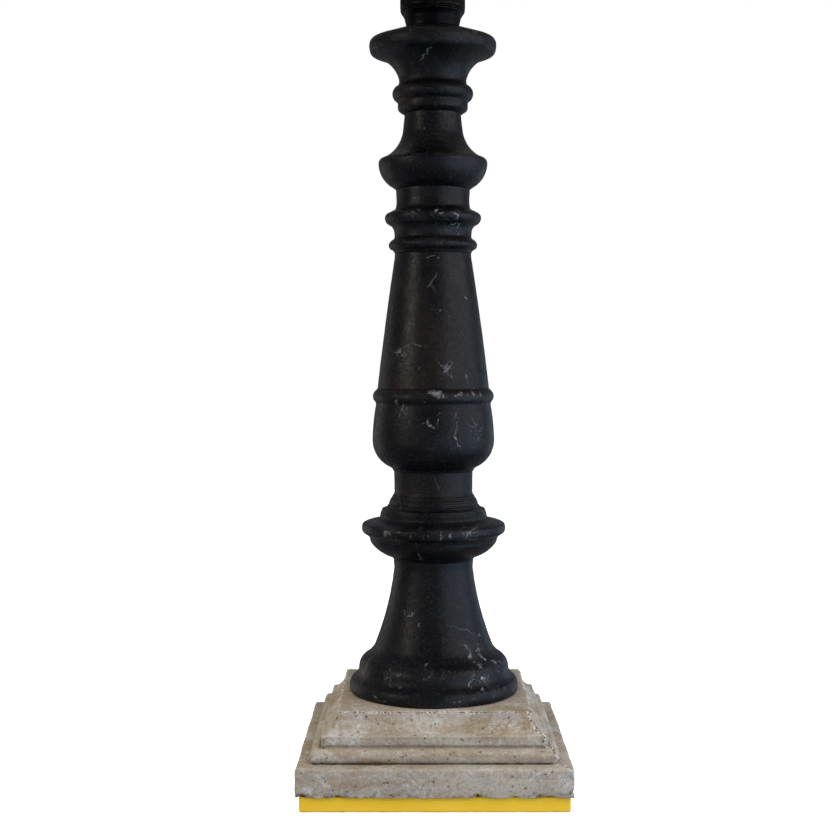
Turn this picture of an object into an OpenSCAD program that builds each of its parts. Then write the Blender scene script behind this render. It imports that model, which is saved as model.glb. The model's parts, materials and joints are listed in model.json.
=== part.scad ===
// Table lamp: a turned black marble column on a cast concrete plinth, with a
// bakelite E27 holder and a tapered linen shade. Millimetres, +Z up, the front
// towards -Y, the origin at the centre of the base on the table.

/* [Base] */
// Width and depth of the felt pad's supporting board
board_width = 175.4; // [150:0.2:178]
// Thickness of the painted board under the plinth
board_thickness = 10; // [8:0.5:14]
// Thickness of the felt pad
felt_thickness = 1; // [0.8:0.2:3]
// How far the felt pad stays inside the board's edge
felt_inset = 4; // [2:0.5:10]
// Distance of the board screws from both centre lines
screw_offset = 60; // [50:1:70]

/* [Plinth] */
// Width and depth of the plinth's bottom slab
slab_width = 180; // [178:1:200]
// Height of the bottom slab
slab_height = 20; // [18:0.5:26]
// Height of the half-round bead on the slab
bead_height = 8.4; // [6:0.2:12]
// How far the bead stands out from the fillet
bead_projection = 7.3; // [6:0.1:9]
// Width of the upright fillet above the bead
fillet_width = 148.8; // [140:0.2:152]
// Height of the upright fillet
fillet_height = 7.2; // [4:0.2:12]
// Height of the hollow moulding under the top face
cavetto_height = 14.2; // [10:0.2:20]
// Width and depth of the plinth's top face
plinth_top_width = 128.8; // [124:0.2:134]

/* [Marble column] */
// Radius of the foot's torus
foot_radius = 59; // [56:0.5:61]
// Height of the foot section
foot_height = 92.4; // [88:0.2:110]
// Radius of the collar's disc
disc_radius = 50.2; // [48:0.2:56]
// Height of the collar section, with its bell and disc
collar_height = 28; // [28:0.2:34]
// Radius of the plain neck above the disc
neck_radius = 27.2; // [24:0.2:29]
// Height of the neck section
neck_height = 33.8; // [26:0.2:50]
// Largest radius of the vase section
vase_radius = 42.5; // [40:0.5:46]
// Height of the vase section
vase_height = 57.2; // [55:0.2:64]
// Radius of the tapered shaft at its top
shaft_top_radius = 26.6; // [22:0.2:30]
// Height of the tapered shaft
shaft_height = 93.6; // [60:0.2:160]
// Radius of the upper of the two turned rings
ring_radius = 33.4; // [32:0.2:36]
// Height of the section with the two rings
rings_height = 44.4; // [38:0.2:60]
// Largest radius of the pear-shaped section
pear_radius = 37.7; // [36:0.5:42]
// Height of the pear-shaped section
pear_height = 51.8; // [50:0.2:64]
// Radius of the capital's flange
capital_radius = 43.9; // [41:0.5:48]
// Height of the capital with its shallow conical top
capital_height = 58.5; // [54:0.1:64]
// Radius of the hole drilled through the column for the tube
column_bore = 5.5; // [5.3:0.1:7]

/* [Lamp holder] */
// Outer radius of the holder's barrel
barrel_radius = 22.4; // [22:0.2:24]
// Height of the cap that screws on the tube
cap_height = 11.9; // [11.5:0.1:16]
// Height of the barrel
barrel_height = 32.2; // [32:0.2:40]
// Outer radius of the skirt that carries the shade rings
skirt_radius = 19.6; // [19:0.1:19.8]
// Height of the skirt above the barrel
skirt_height = 28; // [26:0.5:32]
// Full travel of the push bar switch
switch_travel = 5; // [3:0.5:6]

/* [Shade] */
// Radius of the shade at its lower edge
shade_bottom_radius = 174; // [120:1:190]
// Radius of the shade at its upper edge
shade_top_radius = 134; // [80:1:170]
// Height of the shade
shade_height = 225; // [180:1:300]
// Height of the shade's lower edge above the shade ring
shade_rise = 13.7; // [4:0.1:40]
// Thickness of the laminated shade panel
panel_thickness = 0.8; // [0.6:0.1:1.5]
// Thickness of the steel frame wires
wire_thickness = 3; // [2.5:0.1:4]

/* [Hidden] */

$fn = 72;
arc_steps = 6;      // straight stretches that stand for one arc
fit = 0.1;          // radial gap of a turning fit
gap = 0.3;          // air between neighbouring pieces that move apart
overrun = 1;        // how far a cutting body reaches past the face it cuts

board_z = felt_thickness;
plinth_z = board_z + board_thickness;
bead_z = plinth_z + slab_height;
fillet_z = bead_z + bead_height;
cavetto_z = fillet_z + fillet_height;
plinth_top_z = cavetto_z + cavetto_height;

foot_z = plinth_top_z;
collar_z = foot_z + foot_height;
neck_z = collar_z + collar_height;
vase_z = neck_z + neck_height;
shaft_z = vase_z + vase_height;
rings_z = shaft_z + shaft_height;
pear_z = rings_z + rings_height;
capital_z = pear_z + pear_height;
holder_z = capital_z + capital_height;

tube_radius = 5;            // M10 x 1 lamp tube
tube_bore = 3.9;
tube_z = plinth_z + 8;      // lower end of the tube, inside the recess
tube_top_z = holder_z + 9;
recess_radius = 22;         // recess in the plinth's underside
nut_height = 5;
nut_flats = 17;             // width across the flats of the M10 x 1 nuts
washer_thickness = 2;
capital_recess_radius = 12;
capital_recess_depth = nut_height + washer_thickness + 1;

cord_hole_z = plinth_z + 10;
grommet_radius = 5;
grommet_bore = 3.2;
grommet_length = 14;
grommet_flange_radius = 8;
grommet_flange = 1.6;

screw_radius = 2;
screw_head_radius = 4;
screw_head_height = 2.4;
screw_length = 22;
plug_radius = 4;
plug_length = 15;

wall = 2.2;                 // bakelite wall of the holder
bushing_radius = 7.5;
bushing_height = 6;
lock_screw_radius = 1.6;
lock_screw_height = 5;      // axis of the cap's lock screw above the column
barrel_z = holder_z + cap_height;
skirt_z = barrel_z + barrel_height;
skirt_top_z = skirt_z + skirt_height;
switch_z = barrel_z + 16.2; // axis of the push bar
switch_height = 6;
switch_width = 8;
switch_reach = barrel_radius + 5.5;
insert_z = switch_z + 5.5;
terminal_offset = 12;       // distance of the terminal screws from the axis
terminal_radius = 1.5;
terminal_depth = 4;
shell_z = skirt_z - 1;      // seat of the brass screw shell
shell_radius = 14.1;
shell_wall = 0.6;
shell_height = 26;

shade_ring_flange = 28;
shade_ring_height = 8;
lower_ring_z = skirt_z + 1.7;
fitter_z = lower_ring_z + shade_ring_height + gap;
fitter_thickness = 1.5;
fitter_bore = skirt_radius + 0.6;
fitter_radius = 30;
upper_ring_z = fitter_z + fitter_thickness + gap;

bulb_z = shell_z + 0.9;     // underside of the bulb's centre contact
bulb_cap_radius = shell_radius - shell_wall - gap;
bulb_length = 107;
bulb_radius = 30;

shade_z = fitter_z + shade_rise;
shade_top_z = shade_z + shade_height;
shade_slope = (shade_bottom_radius - shade_top_radius) / shade_height;
wire_radius = wire_thickness / 2;
wire_clearance = 0.1;       // paint between a wire and the panel
tape_thickness = 0.5;
tape_height = 12;
arm_count = 3;
arm_radius = wire_radius - 0.2;
notch_clearance = 0.4;      // room round an arm where it passes through the hem

// Points of an arc from a to b. The rise is the arc's height over its chord,
// positive where it swells to the right of the way from a to b.
function arc_points(a, b, rise) =
    rise == 0 ? [b] :
    let (
        chord = b - a,
        half = norm(chord) / 2,
        side = [chord[1], -chord[0]] / norm(chord),
        radius = (half * half + rise * rise) / (2 * abs(rise)),
        lean = rise > 0 ? 1 : -1,
        centre = (a + b) / 2 - side * lean * (radius - abs(rise)),
        start = atan2(a[1] - centre[1], a[0] - centre[0]),
        sweep = lean * 4 * atan(abs(rise) / half)
    )
    [for (step = [1 : arc_steps])
        centre + radius * [
            cos(start + sweep * step / arc_steps),
            sin(start + sweep * step / arc_steps)
        ]];

// Outline through rows of [radius, height, rise of the stretch that follows].
function outline(rows) = concat(
    [[rows[0][0], rows[0][1]]],
    [for (i = [0 : len(rows) - 2], p = arc_points(
        [rows[i][0], rows[i][1]],
        [rows[i + 1][0], rows[i + 1][1]],
        rows[i][2])) p]
);

// A turned piece with a straight bore, standing at height z.
module turned(z, rows, bore) {
    top = rows[len(rows) - 1][1];
    translate([0, 0, z])
        rotate_extrude()
            polygon(concat(outline(rows), [[bore, top], [bore, rows[0][1]]]));
}

// A ring of rectangular section.
module ring(z, inner, outer, height) {
    translate([0, 0, z])
        rotate_extrude()
            translate([inner, 0])
                square([outer - inner, height]);
}

// A rod of the given radius from one point to another.
module rod(start, end, radius) {
    way = end - start;
    flat = norm([way[0], way[1]]);
    translate(start)
        rotate([0, atan2(flat, way[2]), atan2(way[1], way[0])])
            cylinder(h = norm(way), r = radius);
}

// Places a child at the four board screws.
module at_screws() {
    for (x = [-screw_offset, screw_offset], y = [-screw_offset, screw_offset])
        translate([x, y, 0])
            children();
}

module square_plate(width, z, height) {
    translate([-width / 2, -width / 2, z])
        cube([width, width, height]);
}

// One board screw standing on its head at the board's underside.
module countersunk_screw(clearance) {
    cylinder(h = screw_head_height,
             r1 = screw_head_radius + clearance,
             r2 = screw_radius + clearance);
    cylinder(h = screw_length, r = screw_radius + clearance);
}

module hex_nut(z) {
    corner = nut_flats / 2 / cos(30);
    translate([0, 0, z])
        difference() {
            linear_extrude(height = nut_height)
                polygon([for (k = [0 : 5]) corner * [cos(60 * k), sin(60 * k)]]);
            translate([0, 0, -overrun])
                cylinder(h = nut_height + 2 * overrun, r = tube_radius);
        }
}

// ---- base ----

module felt_pad() {
    color([0.10, 0.11, 0.10])
        square_plate(board_width - 2 * felt_inset, 0, felt_thickness);
}

module base_board() {
    color([0.88, 0.70, 0.14])
        difference() {
            square_plate(board_width, board_z, board_thickness);
            at_screws()
                translate([0, 0, board_z])
                    countersunk_screw(0.2);
        }
}

module board_screws() {
    color([0.75, 0.75, 0.76])
        at_screws()
            translate([0, 0, board_z])
                countersunk_screw(0);
}

module screw_plugs() {
    color([0.85, 0.84, 0.80])
        at_screws()
            ring(plinth_z, screw_radius, plug_radius, plug_length);
}

// Half of the plinth's moulded side, from the slab's foot to the top face.
function plinth_side() =
    let (
        slab = slab_width / 2,
        fillet = fillet_width / 2,
        top = plinth_top_width / 2,
        arris = 1.6,
        quirk = 0.2,
        bead_rise = bead_height / 2 - 1.5 * quirk,
        bead_root = fillet + bead_projection - bead_rise
    )
    outline([
        [slab, plinth_z, 0.2],
        [slab, bead_z - arris, 0.5],
        [slab - arris, bead_z, 0],
        [bead_root, bead_z, 0],
        [bead_root, bead_z + quirk, bead_rise],
        [bead_root, fillet_z - quirk, 0],
        [fillet, fillet_z, 0],
        [fillet, cavetto_z, -2.8],
        [top, plinth_top_z, 0]
    ]);

module moulded_bar() {
    side = plinth_side();
    mirrored = [for (i = [len(side) - 1 : -1 : 0]) [-side[i][0], side[i][1]]];
    rotate([90, 0, 0])
        linear_extrude(height = slab_width + 2, center = true)
            polygon(concat(side, mirrored));
}

module plinth() {
    color([0.50, 0.46, 0.41])
        difference() {
            intersection() {
                moulded_bar();
                rotate([0, 0, 90])
                    moulded_bar();
            }
            translate([0, 0, plinth_z - overrun])
                cylinder(h = slab_height + overrun, r = recess_radius);
            translate([0, 0, plinth_z])
                cylinder(h = plinth_top_z - plinth_z + overrun, r = column_bore);
            translate([0, 0, cord_hole_z])
                rotate([-90, 0, 0])
                    cylinder(h = slab_width, r = grommet_radius);
            at_screws()
                translate([0, 0, plinth_z - overrun])
                    cylinder(h = plug_length + overrun + 1, r = plug_radius);
        }
}

module cord_grommet() {
    color([0.05, 0.05, 0.05])
        translate([0, slab_width / 2, cord_hole_z])
            rotate([-90, 0, 0]) {
                ring(-grommet_length, grommet_bore, grommet_radius, grommet_length);
                ring(0.2, grommet_bore, grommet_flange_radius, grommet_flange);
                ring(-0.2, grommet_bore, grommet_radius, 0.6);
            }
}

module bottom_washer() {
    color([0.72, 0.72, 0.73])
        ring(bead_z - washer_thickness, tube_radius + 0.2, 18, washer_thickness);
}

module bottom_nut() {
    color([0.78, 0.66, 0.38])
        hex_nut(bead_z - washer_thickness - nut_height);
}

module threaded_tube() {
    color([0.74, 0.74, 0.75])
        ring(tube_z, tube_bore, tube_radius, tube_top_z - tube_z);
}

// ---- marble column ----

module marble(z, rows) {
    color([0.07, 0.07, 0.075])
        turned(z, rows, column_bore);
}

module column_foot() {
    shoulder = foot_radius - 6.6;
    throat = foot_radius - 17.8;
    marble(foot_z, [
        [foot_radius - 1.4, 0, 0.5],
        [foot_radius, 2.6, 0.3],
        [foot_radius - 0.8, 8, 0.2],
        [foot_radius - 2.8, 10.1, -1],
        [shoulder, 17, 1.2],
        [shoulder - 4.8, 25.4, -0.3],
        [shoulder - 8.5, 28.4, -0.2],
        [throat, 32.2, -1.9],
        [neck_radius + 0.3, foot_height - 5.9, 0],
        [neck_radius + 0.8, foot_height, 0]
    ]);
}

module column_collar() {
    bell = disc_radius - 6;
    marble(collar_z, [
        [neck_radius + 0.8, 0, 0],
        [neck_radius + 1.4, 0.9, 0],
        [neck_radius + 2.6, 1.9, 1.6],
        [bell, 12.4, 0],
        [bell + 0.3, 14.4, 0],
        [bell + 0.6, 15.6, 0],
        [bell + 1.9, 16.8, 0],
        [disc_radius - 0.9, 18.9, 0.2],
        [disc_radius, 21.4, 0.1],
        [disc_radius - 0.3, 24.4, 0.3],
        [disc_radius - 2.2, 25.8, 0.1],
        [disc_radius - 5.2, 26.8, 0],
        [disc_radius - 10.8, collar_height, 0]
    ]);
}

module column_neck() {
    marble(neck_z, [
        [neck_radius + 12, 0, -0.4],
        [neck_radius + 10, 2.2, 0.2],
        [neck_radius + 9.1, 5.8, 0.5],
        [neck_radius + 7.2, 7.8, -0.6],
        [neck_radius + 3.8, 11, 0.2],
        [neck_radius + 2.6, 14, 0],
        [neck_radius + 0.4, 17.8, -0.2],
        [neck_radius, 20, 0],
        [neck_radius + 0.2, neck_height, 0]
    ]);
}

module column_vase() {
    bead = vase_radius - 2.5;
    marble(vase_z, [
        [neck_radius + 0.8, 0, 0],
        [neck_radius + 1, 1, 0],
        [neck_radius + 2.2, 2.2, 3.5],
        [vase_radius, 21, 0.5],
        [bead + 0.1, 45.8, 0],
        [bead + 0.1, 47.6, 2.2],
        [bead, 56.2, 0],
        [bead - 0.9, vase_height, 0]
    ]);
}

module column_shaft() {
    foot = vase_radius - 3.6;
    marble(shaft_z, [
        [foot, 0, 0.4],
        [shaft_top_radius, shaft_height - 2.4, 0],
        [shaft_top_radius - 0.1, shaft_height, 0]
    ]);
}

module column_rings() {
    plain = shaft_top_radius;
    marble(rings_z, [
        [plain, 0, 0],
        [plain + 0.3, 1, 0],
        [plain + 1.5, 2.4, 0.8],
        [plain + 4.2, 5.4, 0.3],
        [plain + 3.5, 7.4, 0.4],
        [plain + 0.3, 10, 0],
        [plain, 11.6, 0],
        [plain + 0.2, 14, -0.7],
        [ring_radius - 4, 19.4, 1],
        [ring_radius, 24, 1],
        [ring_radius - 2.8, 28, 0.2],
        [ring_radius - 6.6, 29.8, 0],
        [plain - 0.7, 30.6, 0],
        [plain - 1, 32, 0],
        [plain - 1, rings_height, 0]
    ]);
}

module column_pear() {
    marble(pear_z, [
        [shaft_top_radius - 0.4, 0, 0],
        [shaft_top_radius + 0.8, 1, 2.6],
        [pear_radius, 17, 0.35],
        [pear_radius - 0.9, 20.2, 0.3],
        [pear_radius - 3.6, 21.4, -3.4],
        [20.5, 42, 0],
        [19.7, pear_height - 2.4, 0],
        [19.7, pear_height, 0]
    ]);
}

module column_capital() {
    band = 24.2;
    color([0.07, 0.07, 0.075])
        difference() {
            marble(capital_z, [
                [band - 3.5, 0, 0],
                [band - 0.8, 1.8, 0.2],
                [band, 3, 0],
                [band, 7.6, 0],
                [band + 0.2, 8, 3.9],
                [band - 0.4, 19.2, 0],
                [band - 0.9, 21, 0],
                [band - 0.9, 23.6, -3.4],
                [capital_radius - 3.5, 40, 0.9],
                [capital_radius - 0.4, 43.4, 0.1],
                [capital_radius, 46.4, 0.2],
                [capital_radius - 0.9, 50, 0.2],
                [capital_radius - 2.7, 51, 0],
                [20, capital_height - 0.5, 0],
                [19, capital_height, 0]
            ]);
            translate([0, 0, holder_z - capital_recess_depth])
                cylinder(h = capital_recess_depth + overrun,
                         r = capital_recess_radius);
        }
}

module top_washer() {
    color([0.72, 0.72, 0.73])
        ring(holder_z - capital_recess_depth, tube_radius + 0.2,
             capital_recess_radius - 1, washer_thickness);
}

module top_nut() {
    color([0.78, 0.66, 0.38])
        hex_nut(holder_z - capital_recess_depth + washer_thickness);
}

// ---- lamp holder ----

module cap_bushing() {
    color([0.78, 0.66, 0.38])
        ring(holder_z + wall, tube_radius, bushing_radius, bushing_height);
}

module holder_cap() {
    neck = 18.3;
    inner = neck - wall;
    color([0.06, 0.055, 0.05])
        difference() {
            turned(holder_z, [
                [neck, 0, 0],
                [neck + 0.2, 2.4, 0],
                [neck + 1.4, 7, -0.15],
                [barrel_radius - 0.7, 10, 0.1],
                [barrel_radius, cap_height, 0]
            ], tube_radius);
            turned(holder_z, [
                [inner, bushing_height + wall, 0],
                [barrel_radius - wall - 1, cap_height, 0],
                [barrel_radius - wall - 1, cap_height + overrun, 0]
            ], 0);
            translate([0, 0, holder_z + wall])
                cylinder(h = bushing_height + overrun, r = bushing_radius);
            translate([0, 0, holder_z + lock_screw_height])
                rotate([-90, 0, 0])
                    cylinder(h = neck + overrun, r = lock_screw_radius);
        }
}

module cap_lock_screw() {
    color([0.72, 0.72, 0.73])
        translate([0, bushing_radius + 0.1, holder_z + lock_screw_height])
            rotate([-90, 0, 0])
                cylinder(h = 10.2, r = lock_screw_radius);
}

module holder_barrel() {
    slot_height = switch_height + 0.8;
    slot_width = switch_width + 0.8;
    color([0.06, 0.055, 0.05])
        difference() {
            turned(barrel_z, [
                [barrel_radius, 0.2, 0],
                [barrel_radius, barrel_height - 1, 0.3],
                [barrel_radius - 1, barrel_height, 0]
            ], barrel_radius - wall);
            translate([-barrel_radius - overrun, -slot_width / 2,
                       switch_z - slot_height / 2])
                cube([2 * (barrel_radius + overrun), slot_width, slot_height]);
        }
}

module holder_insert() {
    radius = barrel_radius - wall - fit;
    color([0.90, 0.89, 0.85])
        difference() {
            translate([0, 0, insert_z])
                cylinder(h = shell_z - insert_z, r = radius);
            for (y = [-terminal_offset, terminal_offset])
                translate([0, y, insert_z - overrun])
                    cylinder(h = terminal_depth + 2 * overrun, r = terminal_radius);
        }
}

module holder_skirt() {
    color([0.06, 0.055, 0.05])
        difference() {
            ring(shell_z, shell_radius + 0.8, skirt_radius, skirt_top_z - shell_z);
            translate([-2.2, -skirt_radius - overrun, skirt_top_z - 5])
                cube([4.4, 2 * (skirt_radius + overrun), 5 + overrun]);
        }
}

module thread_shell() {
    inner = shell_radius - shell_wall;
    color([0.78, 0.66, 0.38])
        ring(shell_z, inner, shell_radius, shell_height);
}

module centre_contact() {
    strip = 0.5;
    color([0.78, 0.60, 0.35])
        translate([-4, -4, shell_z])
            cube([8, 8, strip]);
}

module side_contact() {
    color([0.78, 0.60, 0.35])
        translate([shell_radius - 3.6, -2, shell_z])
            cube([2.8, 4, 1]);
}

module terminal_screws() {
    head = 2.2;
    color([0.78, 0.66, 0.38])
        for (y = [-terminal_offset, terminal_offset])
            translate([0, y, insert_z - head]) {
                cylinder(h = head, r = 2.8);
                cylinder(h = head + terminal_depth, r = terminal_radius);
            }
}

module switch_blades() {
    blade = 0.6;
    reach = switch_width / 2 + gap + 0.2;
    color([0.78, 0.60, 0.35])
        for (side = [-1, 1])
            translate([-5, side * (reach + blade / 2) - blade / 2,
                       insert_z - 5])
                cube([10, blade, 5]);
}

module switch_bar() {
    knob = 3.2;
    length = 2 * switch_reach;
    color([0.06, 0.055, 0.05])
        translate([-switch_travel / 2, 0, switch_z]) {
            translate([-length / 2 + knob, -switch_width / 2, -switch_height / 2])
                cube([length - 2 * knob, switch_width, switch_height]);
            for (side = [-1, 1])
                translate([side * (length / 2 - knob), 0, 0])
                    rotate([0, 0, 90 - side * 90])
                        intersection() {
                            translate([-0.4, -switch_width / 2, -switch_height / 2])
                                cube([knob + 0.4, switch_width, switch_height]);
                            translate([knob - 5.2, 0, -switch_height / 2])
                                cylinder(h = switch_height, r = 5.2);
                        }
        }
}

// Threaded ring that grips the shade's fitter, its flange at the bottom.
module shade_ring(z, flange_first) {
    flange = 2.4;
    grip = 24.4;
    flange_z = flange_first ? 0 : shade_ring_height - flange;
    color([0.06, 0.055, 0.05]) {
        ring(z, skirt_radius + fit, grip, shade_ring_height);
        ring(z + flange_z, grip - 0.4, shade_ring_flange, flange);
    }
}

module lower_shade_ring() {
    shade_ring(lower_ring_z, false);
}

module upper_shade_ring() {
    shade_ring(upper_ring_z, true);
}

// ---- bulb ----

module bulb_contact() {
    color([0.72, 0.70, 0.66])
        translate([0, 0, bulb_z])
            cylinder(h = 0.8, r = 4.6);
}

module bulb_insulator() {
    color([0.05, 0.05, 0.06])
        translate([0, 0, bulb_z + 0.8])
            cylinder(h = 2.2, r1 = 5.4, r2 = 11.6);
}

module bulb_cap() {
    color([0.80, 0.79, 0.76])
        turned(bulb_z + 3, [
            [11.8, 0, 0],
            [bulb_cap_radius, 1.6, 0],
            [bulb_cap_radius, 22, 0]
        ], bulb_cap_radius - 1.6);
}

module bulb_stem() {
    foot = bulb_z + 12;
    color([0.85, 0.88, 0.88]) {
        translate([0, 0, foot])
            cylinder(h = 26, r = 4);
        translate([0, 0, foot + 25])
            cylinder(h = 20, r = 1.6);
    }
}

module bulb_filament() {
    low = bulb_z + 40;
    high = bulb_z + 76;
    color([0.95, 0.78, 0.35])
        for (k = [0 : 3]) {
            turn = [cos(90 * k + 45), sin(90 * k + 45)];
            rod([7 * turn[0], 7 * turn[1], low],
                [11 * turn[0], 11 * turn[1], high], 1);
        }
}

// Outline of the glass, drawn in by the given thickness.
function bulb_side(inset) =
    let (
        foot = 25.2,
        belly = bulb_length - bulb_radius - 2
    )
    outline([
        [12.9 - inset, foot, 0],
        [14 - inset, foot + 8, -2.2],
        [bulb_radius - 1 - inset, belly - 7, 0.8],
        [bulb_radius - 1 - inset, belly + 8, 8.8],
        [0, bulb_length - inset, 0]
    ]);

module bulb_glass() {
    inner = bulb_side(0.9);
    back = [for (i = [len(inner) - 1 : -1 : 0]) inner[i]];
    color([0.93, 0.95, 0.96, 0.5])
        translate([0, 0, bulb_z])
            rotate_extrude()
                polygon(concat(bulb_side(0), back));
}

// ---- shade ----

function panel_radius(z) = shade_bottom_radius - shade_slope * (z - shade_z);

lower_wire_z = shade_z + wire_radius + 0.2;
upper_wire_z = shade_top_z - wire_radius - 0.2;
wire_inset = panel_thickness + wire_radius + wire_clearance + 0.1;

module wire_ring(z) {
    translate([0, 0, z])
        rotate_extrude()
            translate([panel_radius(z) - wire_inset, 0])
                circle(r = wire_radius, $fn = 20);
}

module shade_fitter() {
    color([0.88, 0.87, 0.84])
        ring(fitter_z, fitter_bore, fitter_radius, fitter_thickness);
}

// Rods of the given radius from the fitter's edge to the lower wire.
module arm_rods(radius) {
    rim = panel_radius(lower_wire_z) - wire_inset;
    inner = fitter_radius - wire_radius;
    start_z = fitter_z + fitter_thickness / 2;
    for (k = [0 : arm_count - 1]) {
        turn = [cos(360 / arm_count * k + 90), sin(360 / arm_count * k + 90)];
        rod([inner * turn[0], inner * turn[1], start_z],
            [rim * turn[0], rim * turn[1], lower_wire_z],
            radius);
    }
}

module shade_arms() {
    color([0.88, 0.87, 0.84])
        arm_rods(arm_radius);
}

module shade_bottom_wire() {
    color([0.88, 0.87, 0.84])
        wire_ring(lower_wire_z);
}

module shade_top_wire() {
    color([0.88, 0.87, 0.84])
        wire_ring(upper_wire_z);
}

module shade_panel() {
    color([0.90, 0.86, 0.76])
        rotate_extrude()
            polygon([
                [shade_bottom_radius, shade_z],
                [shade_top_radius, shade_top_z],
                [shade_top_radius - panel_thickness, shade_top_z],
                [shade_bottom_radius - panel_thickness, shade_z]
            ]);
}

// Tape folded round an edge of the panel and its wire. The edge height and
// the side it folds to (1 up, -1 down) place it.
module hem_tape(edge_z, side) {
    inner_z = edge_z + side * (wire_thickness + 1);
    outer_z = edge_z + side * tape_height;
    fold_z = edge_z - side * tape_thickness;
    skin = 0.05;
    back = wire_inset + wire_radius + wire_clearance;
    color([0.86, 0.82, 0.72])
        rotate_extrude()
            polygon([
                [panel_radius(edge_z) + skin, edge_z],
                [panel_radius(outer_z) + skin, outer_z],
                [panel_radius(outer_z) + tape_thickness, outer_z],
                [panel_radius(fold_z) + tape_thickness, fold_z],
                [panel_radius(fold_z) - back - tape_thickness, fold_z],
                [panel_radius(inner_z) - back - tape_thickness, inner_z],
                [panel_radius(inner_z) - back, inner_z],
                [panel_radius(edge_z) - back, edge_z]
            ]);
}

module lower_hem_tape() {
    difference() {
        hem_tape(shade_z, 1);
        arm_rods(arm_radius + notch_clearance);
    }
}

module upper_hem_tape() {
    hem_tape(shade_top_z, -1);
}

felt_pad();
base_board();
board_screws();
screw_plugs();
plinth();
cord_grommet();
bottom_washer();
bottom_nut();
threaded_tube();
column_foot();
column_collar();
column_neck();
column_vase();
column_shaft();
column_rings();
column_pear();
column_capital();
top_washer();
top_nut();
cap_bushing();
holder_cap();
cap_lock_screw();
holder_barrel();
holder_insert();
holder_skirt();
thread_shell();
centre_contact();
side_contact();
terminal_screws();
switch_blades();
switch_bar();
lower_shade_ring();
upper_shade_ring();
bulb_contact();
bulb_insulator();
bulb_cap();
bulb_stem();
bulb_filament();
bulb_glass();
shade_fitter();
shade_arms();
shade_bottom_wire();
shade_top_wire();
shade_panel();
lower_hem_tape();
upper_hem_tape();
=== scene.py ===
import json
import math

import bmesh
import bpy
import numpy as np
from mathutils import Euler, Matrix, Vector, noise

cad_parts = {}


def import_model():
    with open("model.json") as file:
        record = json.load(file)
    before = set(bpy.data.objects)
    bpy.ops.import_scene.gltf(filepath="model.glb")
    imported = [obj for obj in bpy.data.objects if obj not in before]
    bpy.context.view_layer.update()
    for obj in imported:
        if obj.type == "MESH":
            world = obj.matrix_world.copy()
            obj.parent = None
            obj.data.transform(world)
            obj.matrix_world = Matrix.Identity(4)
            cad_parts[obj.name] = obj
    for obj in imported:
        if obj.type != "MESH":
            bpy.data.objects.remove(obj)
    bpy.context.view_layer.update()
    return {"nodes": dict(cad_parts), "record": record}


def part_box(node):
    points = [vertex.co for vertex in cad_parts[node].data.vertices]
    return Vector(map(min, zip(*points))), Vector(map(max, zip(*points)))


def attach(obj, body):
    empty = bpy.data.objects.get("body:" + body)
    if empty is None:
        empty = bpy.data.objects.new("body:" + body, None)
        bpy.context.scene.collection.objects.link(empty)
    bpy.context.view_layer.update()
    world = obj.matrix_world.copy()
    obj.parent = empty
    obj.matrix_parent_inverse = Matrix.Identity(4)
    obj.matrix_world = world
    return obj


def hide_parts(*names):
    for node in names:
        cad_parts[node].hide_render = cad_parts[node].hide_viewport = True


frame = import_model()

MM = 0.001
TURN = 2 * math.pi
random = np.random.default_rng(7)


# ---------------------------------------------------------------- the frame

def low(node):
    """Lowest corner of a CAD node."""
    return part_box(node)[0]


def high(node):
    """Highest corner of a CAD node."""
    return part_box(node)[1]


def reach(node):
    """Largest radius of a turned CAD node, or half the width of a square one."""
    return high(node)[0]


def heights(node):
    """Heights of a CAD node's underside and top."""
    return low(node)[2], high(node)[2]


def node_points(node):
    """A CAD node's vertices as an array."""
    mesh = frame["nodes"][node].data
    points = np.empty(len(mesh.vertices) * 3)
    mesh.vertices.foreach_get("co", points)
    return points.reshape(-1, 3)


def rising(pairs):
    """(half width, height) pairs once each, from the lowest to the highest."""
    pairs = np.unique(np.round(pairs, 5), axis=0)
    return pairs[np.lexsort((-pairs[:, 0], pairs[:, 1]))]


def turned_outline(node, smallest):
    """Outer outline of a turned CAD node, leaving out what is nearer the axis than smallest."""
    points = node_points(node)
    radius = from_axis(points)
    outer = radius > smallest
    return rising(np.column_stack([radius[outer], points[outer, 2]]))


def mitre_outline(node):
    """Outline of a square moulded CAD node, read along its mitred corner."""
    points = node_points(node)
    corner = (points[:, 0] > 0) & (np.abs(points[:, 0] - points[:, 1]) < 0.01 * MM)
    return rising(points[corner][:, [0, 2]])


# ---------------------------------------------------------------- shaping

def from_axis(points):
    """Distance of each point from the Z axis."""
    return np.hypot(points[:, 0], points[:, 1])


def azimuths(points):
    """Angle of each point round the Z axis, from the front towards +X."""
    return np.arctan2(points[:, 0], -points[:, 1])


def squareness(points):
    """Half width of the upright square that each point lies on."""
    return np.abs(points[:, :2]).max(axis=1)


def unit_length(ways):
    """The same directions, each one unit long."""
    return ways / np.linalg.norm(ways, axis=1)[:, None]


def rough(points, size, octaves=3, shift=0.0):
    """Fractal noise at each point, about -1 to 1. size is the width of the largest lumps."""
    start = Vector((shift, shift, shift))
    return np.array([noise.fractal(Vector(p) / size + start, 1.0, 2.0, octaves) for p in points])


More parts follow.
